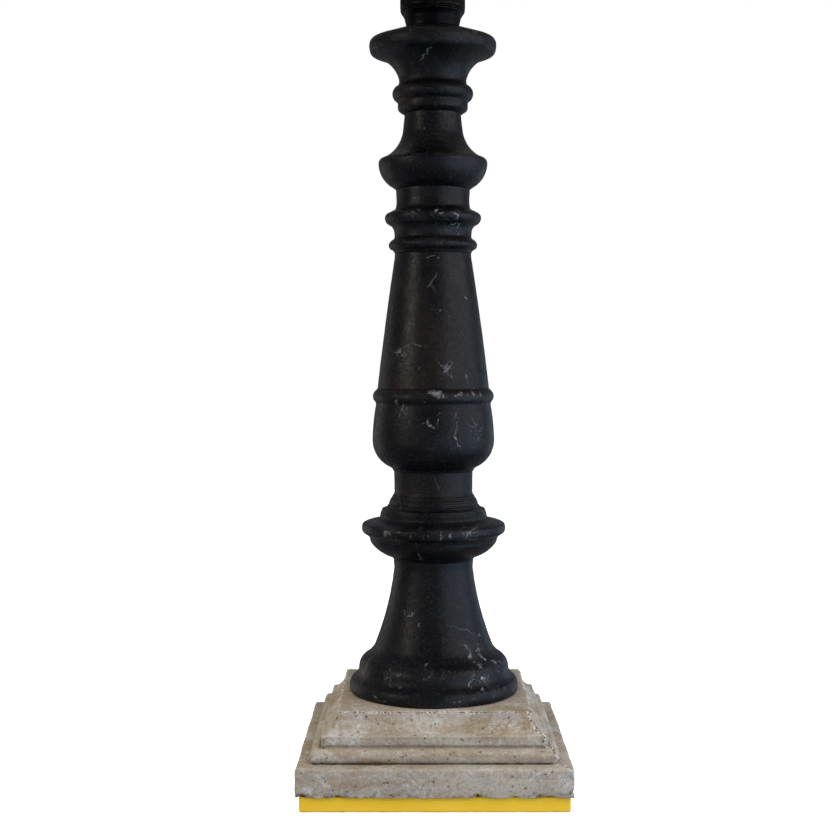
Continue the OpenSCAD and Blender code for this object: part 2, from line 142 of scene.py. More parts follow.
def curved(points, step, sharp=math.radians(24)):
    """A smooth line through the points, kept straight at corners that turn more than sharp."""
    ways = np.diff(points, axis=0)
    lengths = np.linalg.norm(ways, axis=1)
    units = ways / lengths[:, None]
    line = [points[0]]
    for i, length in enumerate(lengths):
        starts = units[i]
        ends = units[i]
        if i and np.dot(units[i - 1], units[i]) > math.cos(sharp):
            starts = units[i - 1] * length + units[i] * lengths[i - 1]
            starts = starts / np.linalg.norm(starts)
        if i + 1 < len(units) and np.dot(units[i], units[i + 1]) > math.cos(sharp):
            ends = units[i] * lengths[i + 1] + units[i + 1] * length
            ends = ends / np.linalg.norm(ends)
        count = max(1, int(math.ceil(length / step)))
        for t in np.arange(1, count + 1) / count:
            line.append(
                (2 * t**3 - 3 * t**2 + 1) * points[i]
                + (t**3 - 2 * t**2 + t) * length * starts
                + (3 * t**2 - 2 * t**3) * points[i + 1]
                + (t**3 - t**2) * length * ends
            )
    return np.array(line)


def even(line, step):
    """The same line with points one step apart."""
    along = np.concatenate([[0], np.cumsum(np.linalg.norm(np.diff(line, axis=0), axis=1))])
    count = max(2, int(round(along[-1] / step)) + 1)
    wanted = np.linspace(0, along[-1], count)
    return np.column_stack([np.interp(wanted, along, line[:, k]) for k in (0, 1)])


def softened(line, passes):
    """The line with its corners worn round."""
    line = line.copy()
    for _ in range(passes):
        line[1:-1] = (line[:-2] + 2 * line[1:-1] + line[2:]) / 4
    return line


def turning(line, spread):
    """How much the line turns at each point, spread over its neighbours."""
    ways = np.diff(line, axis=0)
    angle = np.unwrap(np.arctan2(ways[:, 1], ways[:, 0]))
    turn = np.concatenate([[0], np.diff(angle), [0]])
    return np.convolve(turn, spread, "same")


def convexity(line):
    """How sharply the line turns inward at each point, from 0 to 1 for a worn arris."""
    return np.clip(turning(line, [0.2, 0.6, 1, 0.6, 0.2]) * 1.6, 0, 1)


def concavity(line):
    """How sharply the line turns outward at each point, from 0 to 1 for a tight crease."""
    return np.clip(-turning(line, [0.3, 0.7, 1, 0.7, 0.3]) * 1.3, 0, 1)


def quads(rows, columns, close_rows=False):
    """Faces of a grid of points whose rows go right round."""
    k = np.arange(rows if close_rows else rows - 1)[:, None]
    j = np.arange(columns)[None, :]
    after = (j + 1) % columns
    above = (k + 1) % rows
    corners = [k * columns + j, k * columns + after, above * columns + after, above * columns + j]
    return np.stack([c.reshape(-1) for c in np.broadcast_arrays(*corners)], axis=1)


def closed_faces(rows, columns, inward=False):
    """Faces of a grid whose rows go right round, its two ends closed by one polygon each."""
    faces = [list(f) for f in quads(rows, columns)]
    faces.append(list(range(columns - 1, -1, -1)))
    faces.append([(rows - 1) * columns + j for j in range(columns)])
    return [f[::-1] for f in faces] if inward else faces


def piece(name, points, faces, body, slot, attributes=None):
    """Makes a mesh object that rides on a body and takes its finish from a material slot."""
    mesh = bpy.data.meshes.new(name)
    mesh.from_pydata(np.asarray(points).tolist(), [], [list(map(int, f)) for f in faces])
    mesh.polygons.foreach_set("use_smooth", [True] * len(mesh.polygons))
    for label, values in (attributes or {}).items():
        layer = mesh.attributes.new(label, "FLOAT", "POINT")
        layer.data.foreach_set("value", np.asarray(values, dtype=np.float32))
    mesh.materials.append(MATERIALS[slot])
    obj = bpy.data.objects.new(name, mesh)
    bpy.context.scene.collection.objects.link(obj)
    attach(obj, body)
    return obj


def around(columns):
    """Angles of the columns of a turned piece."""
    return np.arange(columns) * TURN / columns


def spun(line, columns):
    """Points of the line turned about the Z axis, row by row."""
    angle = around(columns)
    x = np.outer(line[:, 0], np.cos(angle))
    y = np.outer(line[:, 0], np.sin(angle))
    z = np.repeat(line[:, 1:2], columns, axis=1)
    return np.stack([x, y, z], axis=2).reshape(-1, 3)


def pushed(points, radial):
    """Points moved out from the Z axis by the given distances."""
    radius = from_axis(points)
    scale = 1 + radial / np.maximum(radius, MM)
    return points * np.column_stack([scale, scale, np.ones_like(scale)])


def ring_piece(name, points, columns, body, slot, attributes=None):
    """A piece whose grid of points closes round each row and from the last row to the first."""
    faces = quads(len(points) // columns, columns, close_rows=True)
    return piece(name, points, faces, body, slot, attributes)


def turned_piece(name, loop, body, slot, columns, warp=None, attributes=None):
    """A closed loop of (radius, height), turned about the Z axis. warp moves points in or out."""
    points = spun(loop, columns)
    if warp is not None:
        points = pushed(points, warp(points))
    return ring_piece(name, points, columns, body, slot, attributes)


# ---------------------------------------------------------------- materials

class Shader:
    """A material and short ways to add nodes to it."""

    def __init__(self, name, **settings):
        self.material = bpy.data.materials.new(name)
        self.material.use_nodes = True
        self.tree = self.material.node_tree
        self.surface = self.tree.nodes["Principled BSDF"]
        for label, value in settings.items():
            self.surface.inputs[label.replace("_", " ")].default_value = value
        place = self.tree.nodes.new("ShaderNodeTexCoord")
        self.place = place.outputs["Object"]

    def put(self, value, socket):
        """Links an output to a socket, or sets the socket to a number or colour."""
        if isinstance(value, bpy.types.NodeSocket):
            self.tree.links.new(value, socket)
        elif value is not None:
            if hasattr(socket.default_value, "__len__") and len(socket.default_value) == 4:
                value = (*value, 1.0)
            socket.default_value = value

    def add(self, kind, inputs, output=0, **options):
        node = self.tree.nodes.new("ShaderNode" + kind)
        for key, value in options.items():
            setattr(node, key, value)
        for key, value in inputs.items():
            self.put(value, node.inputs[key])
        return node.outputs[output]

    def noise(self, scale, detail=4, roughness=0.6, distortion=0.0, at=None):
        inputs = {"Vector": at or self.place, "Scale": scale, "Detail": detail,
                  "Roughness": roughness, "Distortion": distortion}
        return self.add("TexNoise", inputs)

    def grain(self, scale, detail=3, roughness=0.6, distortion=0.0):
        """Noise stretched by (x, y, z)."""
        at = self.add("Mapping", {"Vector": self.place, "Scale": scale})
        return self.noise(1.0, detail, roughness, distortion, at)

    def cells(self, scale, feature="F1", at=None, output="Distance"):
        inputs = {"Vector": at or self.place, "Scale": scale}
        return self.add("TexVoronoi", inputs, output=output, feature=feature)

    def span(self, value, low, high, to_low=0.0, to_high=1.0):
        """Maps low..high to to_low..to_high, smoothly, and stops at both ends."""
        inputs = {"Value": value, "From Min": low, "From Max": high,
                  "To Min": to_low, "To Max": to_high}
        return self.add("MapRange", inputs, interpolation_type="SMOOTHSTEP")

    def sum(self, a, b, operation="ADD"):
        node = self.tree.nodes.new("ShaderNodeMath")
        node.operation = operation
        self.put(a, node.inputs[0])
        self.put(b, node.inputs[1])
        return node.outputs[0]

    def times(self, a, b):
        return self.sum(a, b, "MULTIPLY")

    def greater(self, a, b):
        return self.sum(a, b, "MAXIMUM")

    def mix(self, share, a, b):
        node = self.tree.nodes.new("ShaderNodeMix")
        node.data_type = "RGBA"
        self.put(share, node.inputs["Factor"])
        self.put(a, node.inputs[6])
        self.put(b, node.inputs[7])
        return node.outputs[2]

    def layers(self, base, *layers):
        """Lays colours over a base. Each layer is (value, low, high, share at high, colour)."""
        for value, low, high, share, colour in layers:
            base = self.mix(self.span(value, low, high, 0, share), base, colour)
        return base

    def attribute(self, label):
        return self.add("Attribute", {}, output="Fac", attribute_name=label)

    def colour(self, value):
        self.put(value, self.surface.inputs["Base Color"])

    def roughness(self, value):
        self.put(value, self.surface.inputs["Roughness"])

    def relief(self, height, depth, strength=1.0, after=None):
        """Bump of the given depth in metres, on top of an earlier one."""
        inputs = {"Height": height, "Distance": depth, "Strength": strength}
        if after is not None:
            inputs["Normal"] = after
        bump = self.add("Bump", inputs)
        self.put(bump, self.surface.inputs["Normal"])
        return bump


def black_marble():
    """Honed near black marble: faint clouds, thin white veins, chips and turning marks."""
    s = Shader("black_marble", Specular_IOR_Level=0.2)
    cloud = s.noise(28, 7, 0.62, 0.4)
    mottle = s.noise(260, 6, 0.7)
    flecks = s.noise(700, 4, 0.7)
    base = s.mix(s.span(cloud, 0.35, 0.7), (0.0016, 0.0017, 0.0027), (0.0050, 0.0052, 0.0066))
    base = s.layers(
        base,
        # brown patches: partly the stone's own tone, partly painted warm reflections
        (s.noise(17, 3, 0.5), 0.54, 0.70, 0.7, (0.016, 0.0098, 0.0062)),
        (flecks, 0.54, 0.70, 0.8, (0.028, 0.027, 0.026)),
        (flecks, 0.46, 0.34, 0.8, (0.0008, 0.0008, 0.0012)),
    )
    bent = s.add("VectorMath", {0: s.place, 1: s.add("VectorMath", {
        0: s.add("TexNoise", {"Vector": s.place, "Scale": 55.0, "Detail": 5.0}, output="Color"),
        "Scale": 0.012}, operation="SCALE")}, operation="ADD")
    patch = s.attribute("vein")
    # long thin veins, broken up by a cloud
    long_edge = s.cells(24, "DISTANCE_TO_EDGE", at=bent)
    long_vein = s.times(s.span(long_edge, 0.0, 0.012, 1, 0), s.span(s.noise(31, 3), 0.56, 0.68))
    # short crackle veins where the stone is full of them
    fine_edge = s.cells(175, "DISTANCE_TO_EDGE", at=bent)
    broken = s.span(s.noise(210, 3, 0.6), 0.5, 0.64)
    crackle = s.times(s.times(s.span(fine_edge, 0.0, 0.07, 1, 0), broken), patch)
    spot = s.times(s.span(s.cells(230), 0.08, 0.2, 1, 0), s.span(s.noise(60, 2), 0.6, 0.7))
    milk = s.times(s.span(s.noise(120, 6, 0.7, 0.8), 0.5, 0.78), patch)
    scratch = s.times(s.span(s.grain((620, 620, 150)), 0.6, 0.75), s.attribute("scratch"))
    chip = s.times(s.attribute("chip"), s.span(s.noise(420, 3, 0.6), 0.35, 0.65, 0.35, 1))
    worn = s.times(s.attribute("wear"), s.span(cloud, 0.4, 0.7))
    streak = s.times(s.span(s.attribute("streak"), 0.74, 0.96), s.span(mottle, 0.42, 0.6, 0.15, 1))
    pale = s.times(crackle, 0.75)
    for mark, share in ((long_vein, 0.2), (milk, 0.16), (spot, 0.3), (scratch, 0.3), (chip, 0.55),
                        (worn, 0.05), (streak, 0.38)):
        pale = s.greater(pale, s.times(mark, share))
    s.colour(s.mix(pale, base, (0.40, 0.40, 0.41)))
    gloss = s.sum(s.span(mottle, 0.3, 0.72, 0.27, 0.45), s.span(cloud, 0.3, 0.7, -0.03, 0.05))
    s.roughness(s.sum(s.sum(gloss, s.times(s.attribute("dull"), 0.16)), s.times(pale, 0.2)))
    rings = s.relief(s.grain((9, 9, 1500), 2, 0.5), 0.05 * MM, 0.22)
    grit = s.relief(flecks, 0.12 * MM, 0.5, rings)
    dimple = s.relief(s.noise(430, 4, 0.6), 0.30 * MM, 0.6, grit)
    s.relief(s.sum(mottle, s.times(pale, 0.5)), 0.35 * MM, 0.5, dimple)
    return s.material


def concrete():
    """Cast concrete: warm grey with level brown stains, sand grain and air holes, with painted shade in
    the holes and creases and painted warm light on the left face.
    """
    s = Shader("concrete", Specular_IOR_Level=0.25)
    blotch = s.noise(26, 5, 0.6, 0.6)
    level = s.grain((11, 11, 95), 5, 0.6, 0.3)
    sand = s.noise(1300, 3, 0.7)
    fine = s.noise(300, 5, 0.65)
    mealy = s.noise(430, 4, 0.7)
    base = s.mix(s.span(blotch, 0.36, 0.66), (0.330, 0.285, 0.222), (0.440, 0.402, 0.335))
    base = s.layers(base, (level, 0.5, 0.66, 0.65, (0.27, 0.205, 0.13)))
    # real stains plus painted warm light on the left face, in one mask
    stain_and_warm_light = s.times(s.attribute("stain_and_warm_light"), s.span(s.noise(75, 4, 0.6), 0.40, 0.60))
    base = s.mix(s.times(stain_and_warm_light, 0.75), base, (0.26, 0.175, 0.09))
    bloom = s.times(s.span(s.noise(48, 6, 0.7, 0.5), 0.52, 0.66), s.span(mealy, 0.4, 0.6, 0.3, 1))
    base = s.mix(s.times(bloom, 0.8), base, (0.54, 0.54, 0.53))
    base = s.layers(
        base,
        (mealy, 0.54, 0.70, 0.55, (0.60, 0.57, 0.51)),
        (mealy, 0.46, 0.32, 0.6, (0.17, 0.135, 0.095)),
        (sand, 0.56, 0.72, 0.5, (0.68, 0.66, 0.60)),
        (sand, 0.44, 0.3, 0.5, (0.15, 0.12, 0.085)),
        (fine, 0.46, 0.3, 0.4, (0.18, 0.145, 0.10)),
    )
    # painted shade with some soiling: the creases and the mitre crevice are coloured darker
    crease_soiling_and_shade = s.times(s.attribute("hollow"), s.span(s.noise(120, 4, 0.6), 0.25, 0.6, 0.5, 1))
    base = s.mix(s.times(crease_soiling_and_shade, 0.45), base, (0.12, 0.09, 0.06))
    chance = s.cells(210, output="Color")
    hole = s.times(s.span(s.cells(210), 0.07, 0.11, 1, 0), s.span(chance, 0.70, 0.72))
    pit = s.greater(hole, s.attribute("pit"))
    broken = s.attribute("broken")
    raw = s.times(broken, s.span(s.noise(650, 3, 0.7), 0.4, 0.6))
    base = s.mix(s.times(raw, 0.9), base, (0.72, 0.66, 0.56))
    dark_grain = s.times(broken, s.span(s.cells(520), 0.42, 0.25))
    base = s.mix(s.times(dark_grain, 0.95), base, (0.03, 0.02, 0.012))
    # painted shade: the air holes are coloured near black
    s.colour(s.mix(s.times(pit, 0.95), base, (0.028, 0.02, 0.014)))
    s.roughness(s.span(fine, 0.3, 0.7, 0.8, 0.95))
    first = s.relief(fine, 0.6 * MM, 0.45)
    grain = s.relief(sand, 0.3 * MM, 0.6, first)
    s.relief(s.times(hole, -1.0), 1.0 * MM, 1.0, grain)
    return s.material


def yellow_paint():
    """Satin brushed paint, a little worn along its edges, which soiling and painted shade darken."""
    s = Shader("yellow_paint", Specular_IOR_Level=0.45, Coat_Weight=0.15, Coat_Roughness=0.3)
    cloud = s.noise(22, 4, 0.5)
    brush = s.grain((16, 16, 700), 4)
    base = s.mix(s.span(cloud, 0.35, 0.65), (0.91, 0.56, 0.016), (0.94, 0.59, 0.024))
    base = s.layers(base, (brush, 0.62, 0.8, 0.3, (0.80, 0.48, 0.018)))
    # soiling and painted shade darken the top and bottom edges
    grime_and_edge_shade = s.times(s.attribute("wear"), s.span(s.noise(160, 4, 0.7), 0.48, 0.66))
    base = s.mix(s.times(grime_and_edge_shade, 0.7), base, (0.16, 0.10, 0.03))
    speck = s.times(s.span(s.cells(160), 0.03, 0.06, 1, 0), 0.5)
    s.colour(s.mix(speck, base, (0.24, 0.15, 0.03)))
    s.roughness(s.span(cloud, 0.3, 0.7, 0.36, 0.48))
    first = s.relief(brush, 0.12 * MM, 0.3)
    s.relief(s.noise(240, 3, 0.5), 0.15 * MM, 0.3, first)
    return s.material


def felt():
    """Dense wool felt."""
    s = Shader("felt", Sheen_Weight=0.4, Sheen_Roughness=0.6, Specular_IOR_Level=0.1)
    tuft = s.noise(900, 6, 0.8)
    s.colour(s.mix(s.span(tuft, 0.35, 0.65), (0.018, 0.021, 0.018), (0.075, 0.08, 0.07)))
    s.roughness(s.span(tuft, 0.3, 0.7, 0.88, 1.0))
    s.relief(tuft, 0.4 * MM, 0.8)
    return s.material


def bakelite():
    """Black moulded bakelite with a dulled skin and faint brown flow marks."""
    s = Shader("bakelite", Specular_IOR_Level=0.08)
    flow = s.noise(60, 5, 0.6, 1.2)
    fine = s.noise(500, 4, 0.6)
    base = s.mix(s.span(flow, 0.4, 0.7), (0.0004, 0.0004, 0.0004), (0.0020, 0.0013, 0.0009))
    worn = s.times(s.attribute("wear"), s.span(s.noise(200, 3, 0.6), 0.4, 0.65))
    s.colour(s.mix(s.times(worn, 0.3), base, (0.06, 0.05, 0.042)))
    s.roughness(s.sum(s.span(fine, 0.3, 0.7, 0.3, 0.42), s.times(worn, 0.15)))
    s.relief(fine, 0.08 * MM, 0.25)
    return s.material


def metal(name, pale, dark, smooth_to, dull_to, streak):
    """Metal with spots of tarnish and fine drawing or turning marks along Z."""
    s = Shader(name, Metallic=1.0)
    spots = s.noise(120, 5, 0.65)
    marks = s.grain(streak)
    s.colour(s.mix(s.span(spots, 0.4, 0.7), pale, dark))
    s.roughness(s.sum(s.span(spots, 0.3, 0.7, smooth_to, dull_to), s.span(marks, 0.3, 0.7, -0.05, 0.05)))
    s.relief(marks, 0.05 * MM, 0.25)
    return s.material


def plain(name, pale, dark, gloss_from, gloss_to, size, depth, specular=0.4, **more):
    """A moulded, fired or painted surface with soft clouds and a fine skin."""
    s = Shader(name, Specular_IOR_Level=specular, **more)
    cloud = s.noise(size, 5, 0.6)
    skin = s.noise(size * 12, 3, 0.6)
    s.colour(s.mix(s.span(cloud, 0.35, 0.68), pale, dark))
    s.roughness(s.span(skin, 0.3, 0.7, gloss_from, gloss_to))
    s.relief(skin, depth, 0.4)
    return s.material


def clear_glass():
    """Clear glass with faint waves and a slightly uneven gloss."""
    s = Shader("clear_glass", Transmission_Weight=1.0, IOR=1.5, Base_Color=(0.97, 0.985, 0.98, 1))
    s.roughness(s.span(s.noise(90, 3, 0.5), 0.3, 0.7, 0.0, 0.03))
    s.relief(s.noise(55, 2, 0.5), 0.1 * MM, 0.15)
    return s.material


THREADS_PER_METRE = 1250


def weave(s, slub):
    """Height of a plain weave laid along the cloth's own directions, and its thread tone."""
    across = s.attribute("across")
    along = s.attribute("along")
    tangle = s.noise(70, 3, 0.5)
    wander = s.span(tangle, 0.3, 0.7, -0.0006, 0.0006)
    warp = s.times(s.sum(across, wander), THREADS_PER_METRE * TURN)
    weft = s.times(s.sum(along, wander), THREADS_PER_METRE * TURN)
    cloth = s.times(s.sum(s.sum(warp, 0.0, "SINE"), s.sum(weft, 0.0, "SINE")), 0.5)

    def slubs(across_scale, along_scale, shift):
        place = s.add("CombineXYZ", {"X": s.times(across, across_scale),
                                     "Y": s.times(along, along_scale), "Z": shift})
        return s.span(s.noise(1.0, 3, 0.6, at=place), 0.55, 0.75)

    tone = s.greater(slubs(900.0, 14.0, 0.0), slubs(14.0, 900.0, 3.0))
    return cloth, s.times(tone, slub)


def linen():
    """Undyed linen laminated on a stiff panel, with uneven threads."""
    s = Shader("linen", Sheen_Weight=0.15, Sheen_Roughness=0.5, Specular_IOR_Level=0.2)
    cloth, tone = weave(s, 0.5)
    base = s.mix(s.span(s.noise(9, 3, 0.5), 0.35, 0.65), (0.74, 0.67, 0.54), (0.80, 0.735, 0.61))
    # painted shade between the threads: the weave's low points are darker
    base = s.mix(s.span(cloth, -1.0, 0.2, 0.45, 0), base, (0.50, 0.43, 0.32))
    s.colour(s.mix(tone, base, (0.60, 0.52, 0.39)))
    s.roughness(s.span(cloth, -1, 1, 0.95, 0.82))
    s.relief(s.sum(cloth, tone), 0.25 * MM, 0.6)
    return s.material


def hem_tape():
    """Narrow woven tape, a little darker than the linen."""
    s = Shader("hem_tape", Sheen_Weight=0.2, Sheen_Roughness=0.4, Specular_IOR_Level=0.2)
    cloth, tone = weave(s, 0.35)
    # painted shade between the threads: the weave's low points are darker
    base = s.mix(s.span(cloth, -1.0, 0.3, 0.5, 0), (0.70, 0.62, 0.48), (0.42, 0.35, 0.25))
    s.colour(s.mix(tone, base, (0.56, 0.48, 0.35)))
    s.roughness(s.span(cloth, -1, 1, 0.92, 0.8))
    s.relief(cloth, 0.3 * MM, 0.7)
    return s.material


SILVER = (0.56, 0.56, 0.57)
STEEL = (0.33, 0.33, 0.34)
MATERIALS = {
    "felt": felt(),
    "yellow_paint": yellow_paint(),
    "concrete": concrete(),
    "black_marble": black_marble(),
    "bakelite": bakelite(),
    "clear_glass": clear_glass(),
    "linen": linen(),
    "hem_tape": hem_tape(),
    "zinc_steel": metal("zinc_steel", SILVER, STEEL, 0.28, 0.45, (900, 900, 60)),
    "brass": metal("brass", (0.72, 0.52, 0.24), (0.42, 0.27, 0.10), 0.2, 0.4, (30, 30, 1400)),
    "bronze": metal("bronze", (0.68, 0.42, 0.22), (0.36, 0.2, 0.1), 0.25, 0.42, (60, 900, 60)),
    "nickel": metal("nickel", (0.66, 0.64, 0.60), (0.42, 0.40, 0.37), 0.22, 0.38, (40, 40, 900)),
    "solder": metal("solder", (0.52, 0.52, 0.53), (0.30, 0.30, 0.31), 0.3, 0.5, (200, 200, 200)),
    "rubber": plain("rubber", (0.016, 0.016, 0.017), (0.03, 0.03, 0.03), 0.55, 0.75, 90, 0.1 * MM),
    "nylon": plain("nylon", (0.70, 0.69, 0.64), (0.62, 0.60, 0.54), 0.4, 0.55, 90, 0.05 * MM),
    "steatite": plain("steatite", (0.80, 0.78, 0.72), (0.68, 0.65, 0.58), 0.6, 0.8, 140, 0.1 * MM),
    "black_glass": plain("black_glass", (0.012, 0.012, 0.018), (0.02, 0.02, 0.028),
                         0.06, 0.16, 90, 0.05 * MM, 0.5),
    "phosphor": plain("phosphor", (0.80, 0.55, 0.12), (0.70, 0.44, 0.08), 0.5, 0.7, 300, 0.05 * MM),
    "white_wire": plain("white_wire", (0.78, 0.77, 0.73), (0.66, 0.64, 0.59), 0.32, 0.5, 120, 0.1 * MM),
}


# ---------------------------------------------------------------- marble column

COLUMNS = 360
BORE = reach("threaded_tube") + 0.5 * MM
FRONT = -math.pi / 2


def on_column(azimuth, height, radius):
    """Point on the column. azimuth is in degrees from the front towards +X, height in metres."""
    angle = FRONT + math.radians(azimuth)
    return np.array([radius * math.cos(angle), radius * math.sin(angle), height])


def falloff(points, centre, size):
    """1 at the centre, 0 at the given distance from it."""
    distance = np.linalg.norm(points - centre, axis=1) / size
    return np.clip(1 - distance**2, 0, 1) ** 2


# Places rich in white veins: azimuth, height above the node's underside, radius, spread, strength.
VEINS = {
    "column_foot": [(43, 32, 41, 14, 1.0), (36, 16, 52, 13, 1.0), (60, 22, 48, 10, 0.8),
                    (-33, 20, 50, 12, 0.7), (19, 4, 59, 11, 0.8), (-5, 22, 50, 9, 0.35),
                    (8, 24, 49, 9, 0.35), (50, 6, 58, 12, 0.5), (150, 30, 40, 26, 0.9),
                    (-120, 14, 52, 20, 0.7)],
    "column_collar": [(30, 22, 50, 12, 0.6), (-30, 21, 50, 11, 0.5), (170, 18, 48, 20, 0.7)],
    "column_vase": [(42, 30, 42, 12, 0.4), (-30, 42, 40, 8, 0.5), (200, 30, 42, 20, 0.7)],
    "column_shaft": [(-40, 22, 36, 12, 0.6), (15, 13, 37, 9, 0.6), (140, 60, 32, 22, 0.7)],
    "column_rings": [(16, 17, 28, 8, 1.0), (34, 17, 28, 8, 1.0), (50, 17, 28, 7, 0.8),
                     (-22, 25, 33, 5, 0.9), (6, 25, 33, 6, 0.9), (30, 25, 33, 7, 0.8),
                     (210, 20, 28, 14, 0.8)],
    "column_pear": [(10, 30, 24, 8, 0.25), (190, 18, 36, 14, 0.6)],
    "column_capital": [(-29, 30, 27, 5, 0.7), (-6, 54, 33, 8, 0.6), (150, 44, 42, 16, 0.6)],
}

# Chips: azimuth, height above the node's underside, radius, size, depth.
CHIPS = {
    "column_vase": [(2, 55, 41.5, 4.2, 0.7), (-4, 56, 41, 2.4, 0.6), (9, 53, 42, 2, 0.4),
                    (22, 54.5, 42, 1.9, 0.4), (27, 54.8, 42, 2.1, 0.5), (34, 55, 42, 2.0, 0.4),
                    (41, 54.4, 42, 2.6, 0.5), (50, 54, 42, 2.0, 0.4), (-38, 48.6, 41, 2.0, -0.6),
                    (49, 28, 42, 1.5, 0.3), (24, 15, 41, 1.2, 0.3), (170, 53, 42, 4, 0.8)],
    "column_shaft": [(47, 74, 29.2, 1.3, 0.3), (46.7, 62, 30.8, 1.5, 0.35)],
    # the first foot chip is a shallow dent whose pale patch is a painted highlight
    "column_foot": [(-24, 12, 57, 3.0, 0.4), (-38, 20, 50, 1.4, 0.3), (-29, 19, 51, 1.6, 0.3),
                    (-6, 27, 46, 1.6, 0.3)],
    "column_collar": [(30, 23, 50, 1.8, 0.35), (-40, 22, 50, 2.4, 0.3), (12, 22, 50, 1.5, 0.3)],
    "column_rings": [(-18, 27, 32, 1.6, 0.35), (4, 26, 32, 2.0, 0.4), (10, 25.6, 33, 1.5, 0.4)],
    "column_capital": [(40, 49, 43, 2, 0.3)],
}

# Single veins and scratches, each a line of (azimuth, height) points.
STREAKS = {
    "column_capital": [[(-1, 40), (-5, 37.5), (-12, 33.5), (-20, 30.5)]],
    "column_shaft": [[(-47, 23.6), (-42, 24.6), (-38, 26.5), (-30, 29.8)],
                     [(-44, 21), (-43, 25), (-40, 30)], [(-21, 30.5), (-18, 30), (-16, 28.5)],
                     [(6, 18), (10, 16), (14, 13), (19, 8)], [(15, 17), (14, 12)],
                     [(36, 11), (37, 5)], [(-9, 89.6), (-3, 90.3), (3, 91)]],
    "column_vase": [[(-32, 46), (-30, 43), (-27, 40)],
                    [(-10, 34), (-6, 37), (-4, 36), (-3, 32), (0, 31), (3, 34), (3, 38)],
                    [(20, 42), (22, 32), (20, 26), (24, 16)]],
    "column_foot": [[(-38, 58.6), (-31, 57.8), (-24, 58.4)], [(-18, 54), (-15, 49)],
                    [(32, 38), (37, 34), (34, 29), (38, 24), (44, 21)],
                    [(50, 36), (46, 31), (51, 27)], [(26, 14), (31, 16), (35, 18), (40, 15), (42, 11)],
                    [(-44, 5), (-39, 3.4), (-33, 2.6)]],
    "column_collar": [[(-38, 24), (-36, 19)], [(4, 24), (6, 19)], [(22, 24), (26, 20), (29, 22)],
                      [(-14, 9), (-13, 4)]],
}

# Sections that have lost their polish, from 0 to 1.
DULL = {"column_capital": 0.3, "column_neck": 0.3}

FINE_STEP = 0.34 * MM
STEP = 0.62 * MM


def turning_marks(points, node):
    """Ridges left by the lathe on the hollow flare of the neck."""
    if node != "column_neck":
        return np.zeros(len(points))
    height = points[:, 2] - low(node)[2]
    band = np.clip(1.5 - np.abs(height / MM - 8) / 9.0, 0, 1)
    ridge = np.sin(height / (1.35 * MM) * TURN) + 0.7 * np.sin(height / (2.3 * MM) * TURN + 1)
    uneven = 1 + 0.7 * rough(points, 12 * MM, 2, 13)
    return 0.17 * MM * band * ridge * uneven


STREAK_REACH = 3


def near_line(points, line, base):
    """1 on a line of (azimuth, height) points round the column, 0 at STREAK_REACH mm from it."""
    azimuth = np.degrees(azimuths(points))
    radius = from_axis(points)
    height = (points[:, 2] - base) / MM
    nearest = np.full(len(points), 1e9)
    for (az0, z0), (az1, z1) in zip(line[:-1], line[1:]):
        scale = np.radians(1) * radius / MM
        across, up = (az1 - az0) * scale, z1 - z0
        dx, dz = (azimuth - az0) * scale, height - z0
        t = np.clip((dx * across + dz * up) / (across**2 + up**2), 0, 1)
        nearest = np.minimum(nearest, np.hypot(dx - t * across, dz - t * up))
    return np.clip(1 - nearest / STREAK_REACH, 0, 1)


def marble_section(node):
    """A turned marble section that stands for its CAD node, with worn arrises and chips."""
    step = FINE_STEP if node == "column_neck" else STEP
    outer = curved(turned_outline(node, 14 * MM), step)
    outer = softened(even(outer, step), 3)
    bottom, top = outer[0, 1], outer[-1, 1]
    inner = [[BORE, top], [BORE, bottom]]
    if node == "column_capital":
        recess = top - (high(node)[2] - low("top_washer")[2])
        well = reach("top_washer") + 1 * MM
        inner = [[well, top], [well, recess], [BORE, recess], [BORE, bottom]]
    points = spun(np.vstack([outer, inner]), COLUMNS)
    count = len(outer) * COLUMNS
    shell = points[:count]
    wear = np.repeat(convexity(outer), COLUMNS)
    base = low(node)[2]
    wobble = 0.10 * MM * rough(shell, 40 * MM, 2) + 0.05 * MM * rough(shell, 6 * MM, 3, 5)
    dents = np.clip(rough(shell, 3.2 * MM, 2, 9) - 0.28, 0, 1) * wear * 1.1 * MM
    radial = wobble - dents + turning_marks(shell, node)
    torn = shell + 2.2 * MM * np.column_stack([rough(shell, 4 * MM, 3, k) for k in (31, 37, 41)])
    chip = np.zeros(count)
    for azimuth, height, radius, size, depth in CHIPS.get(node, []):
        centre = on_column(azimuth, base + height * MM, radius * MM)
        hit = falloff(torn, centre, size * MM)
        radial -= hit * depth * MM
        chip = np.maximum(chip, hit)
    vein = np.zeros(count)
    for azimuth, height, radius, size, strength in VEINS.get(node, []):
        centre = on_column(azimuth, base + height * MM, radius * MM)
        vein = np.maximum(vein, falloff(shell, centre, size * MM) * strength)
    streak = np.zeros(count)
    for line in STREAKS.get(node, []):
        streak = np.maximum(streak, near_line(torn, line, base))
    scratch = np.zeros(count)
    if node == "column_collar":
        scratch = np.clip(1 - np.abs(shell[:, 2] - base - 19 * MM) / (8 * MM), 0, 1)
    points = np.vstack([pushed(shell, radial), points[count:]])
    rest = np.zeros(len(points) - count)
    marks = {"wear": wear, "vein": vein, "chip": chip, "scratch": scratch, "streak": streak}
    attributes = {label: np.concatenate([values, rest]) for label, values in marks.items()}
    attributes["dull"] = np.full(len(points), DULL.get(node, 0.0))
    made = ring_piece(node.replace("column", "marble"), points, COLUMNS, "stand", "black_marble",
                      attributes)
    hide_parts(node)


for part in ("foot", "collar", "neck", "vase", "shaft", "rings", "pear", "capital"):
    marble_section("column_" + part)


# ---------------------------------------------------------------- base

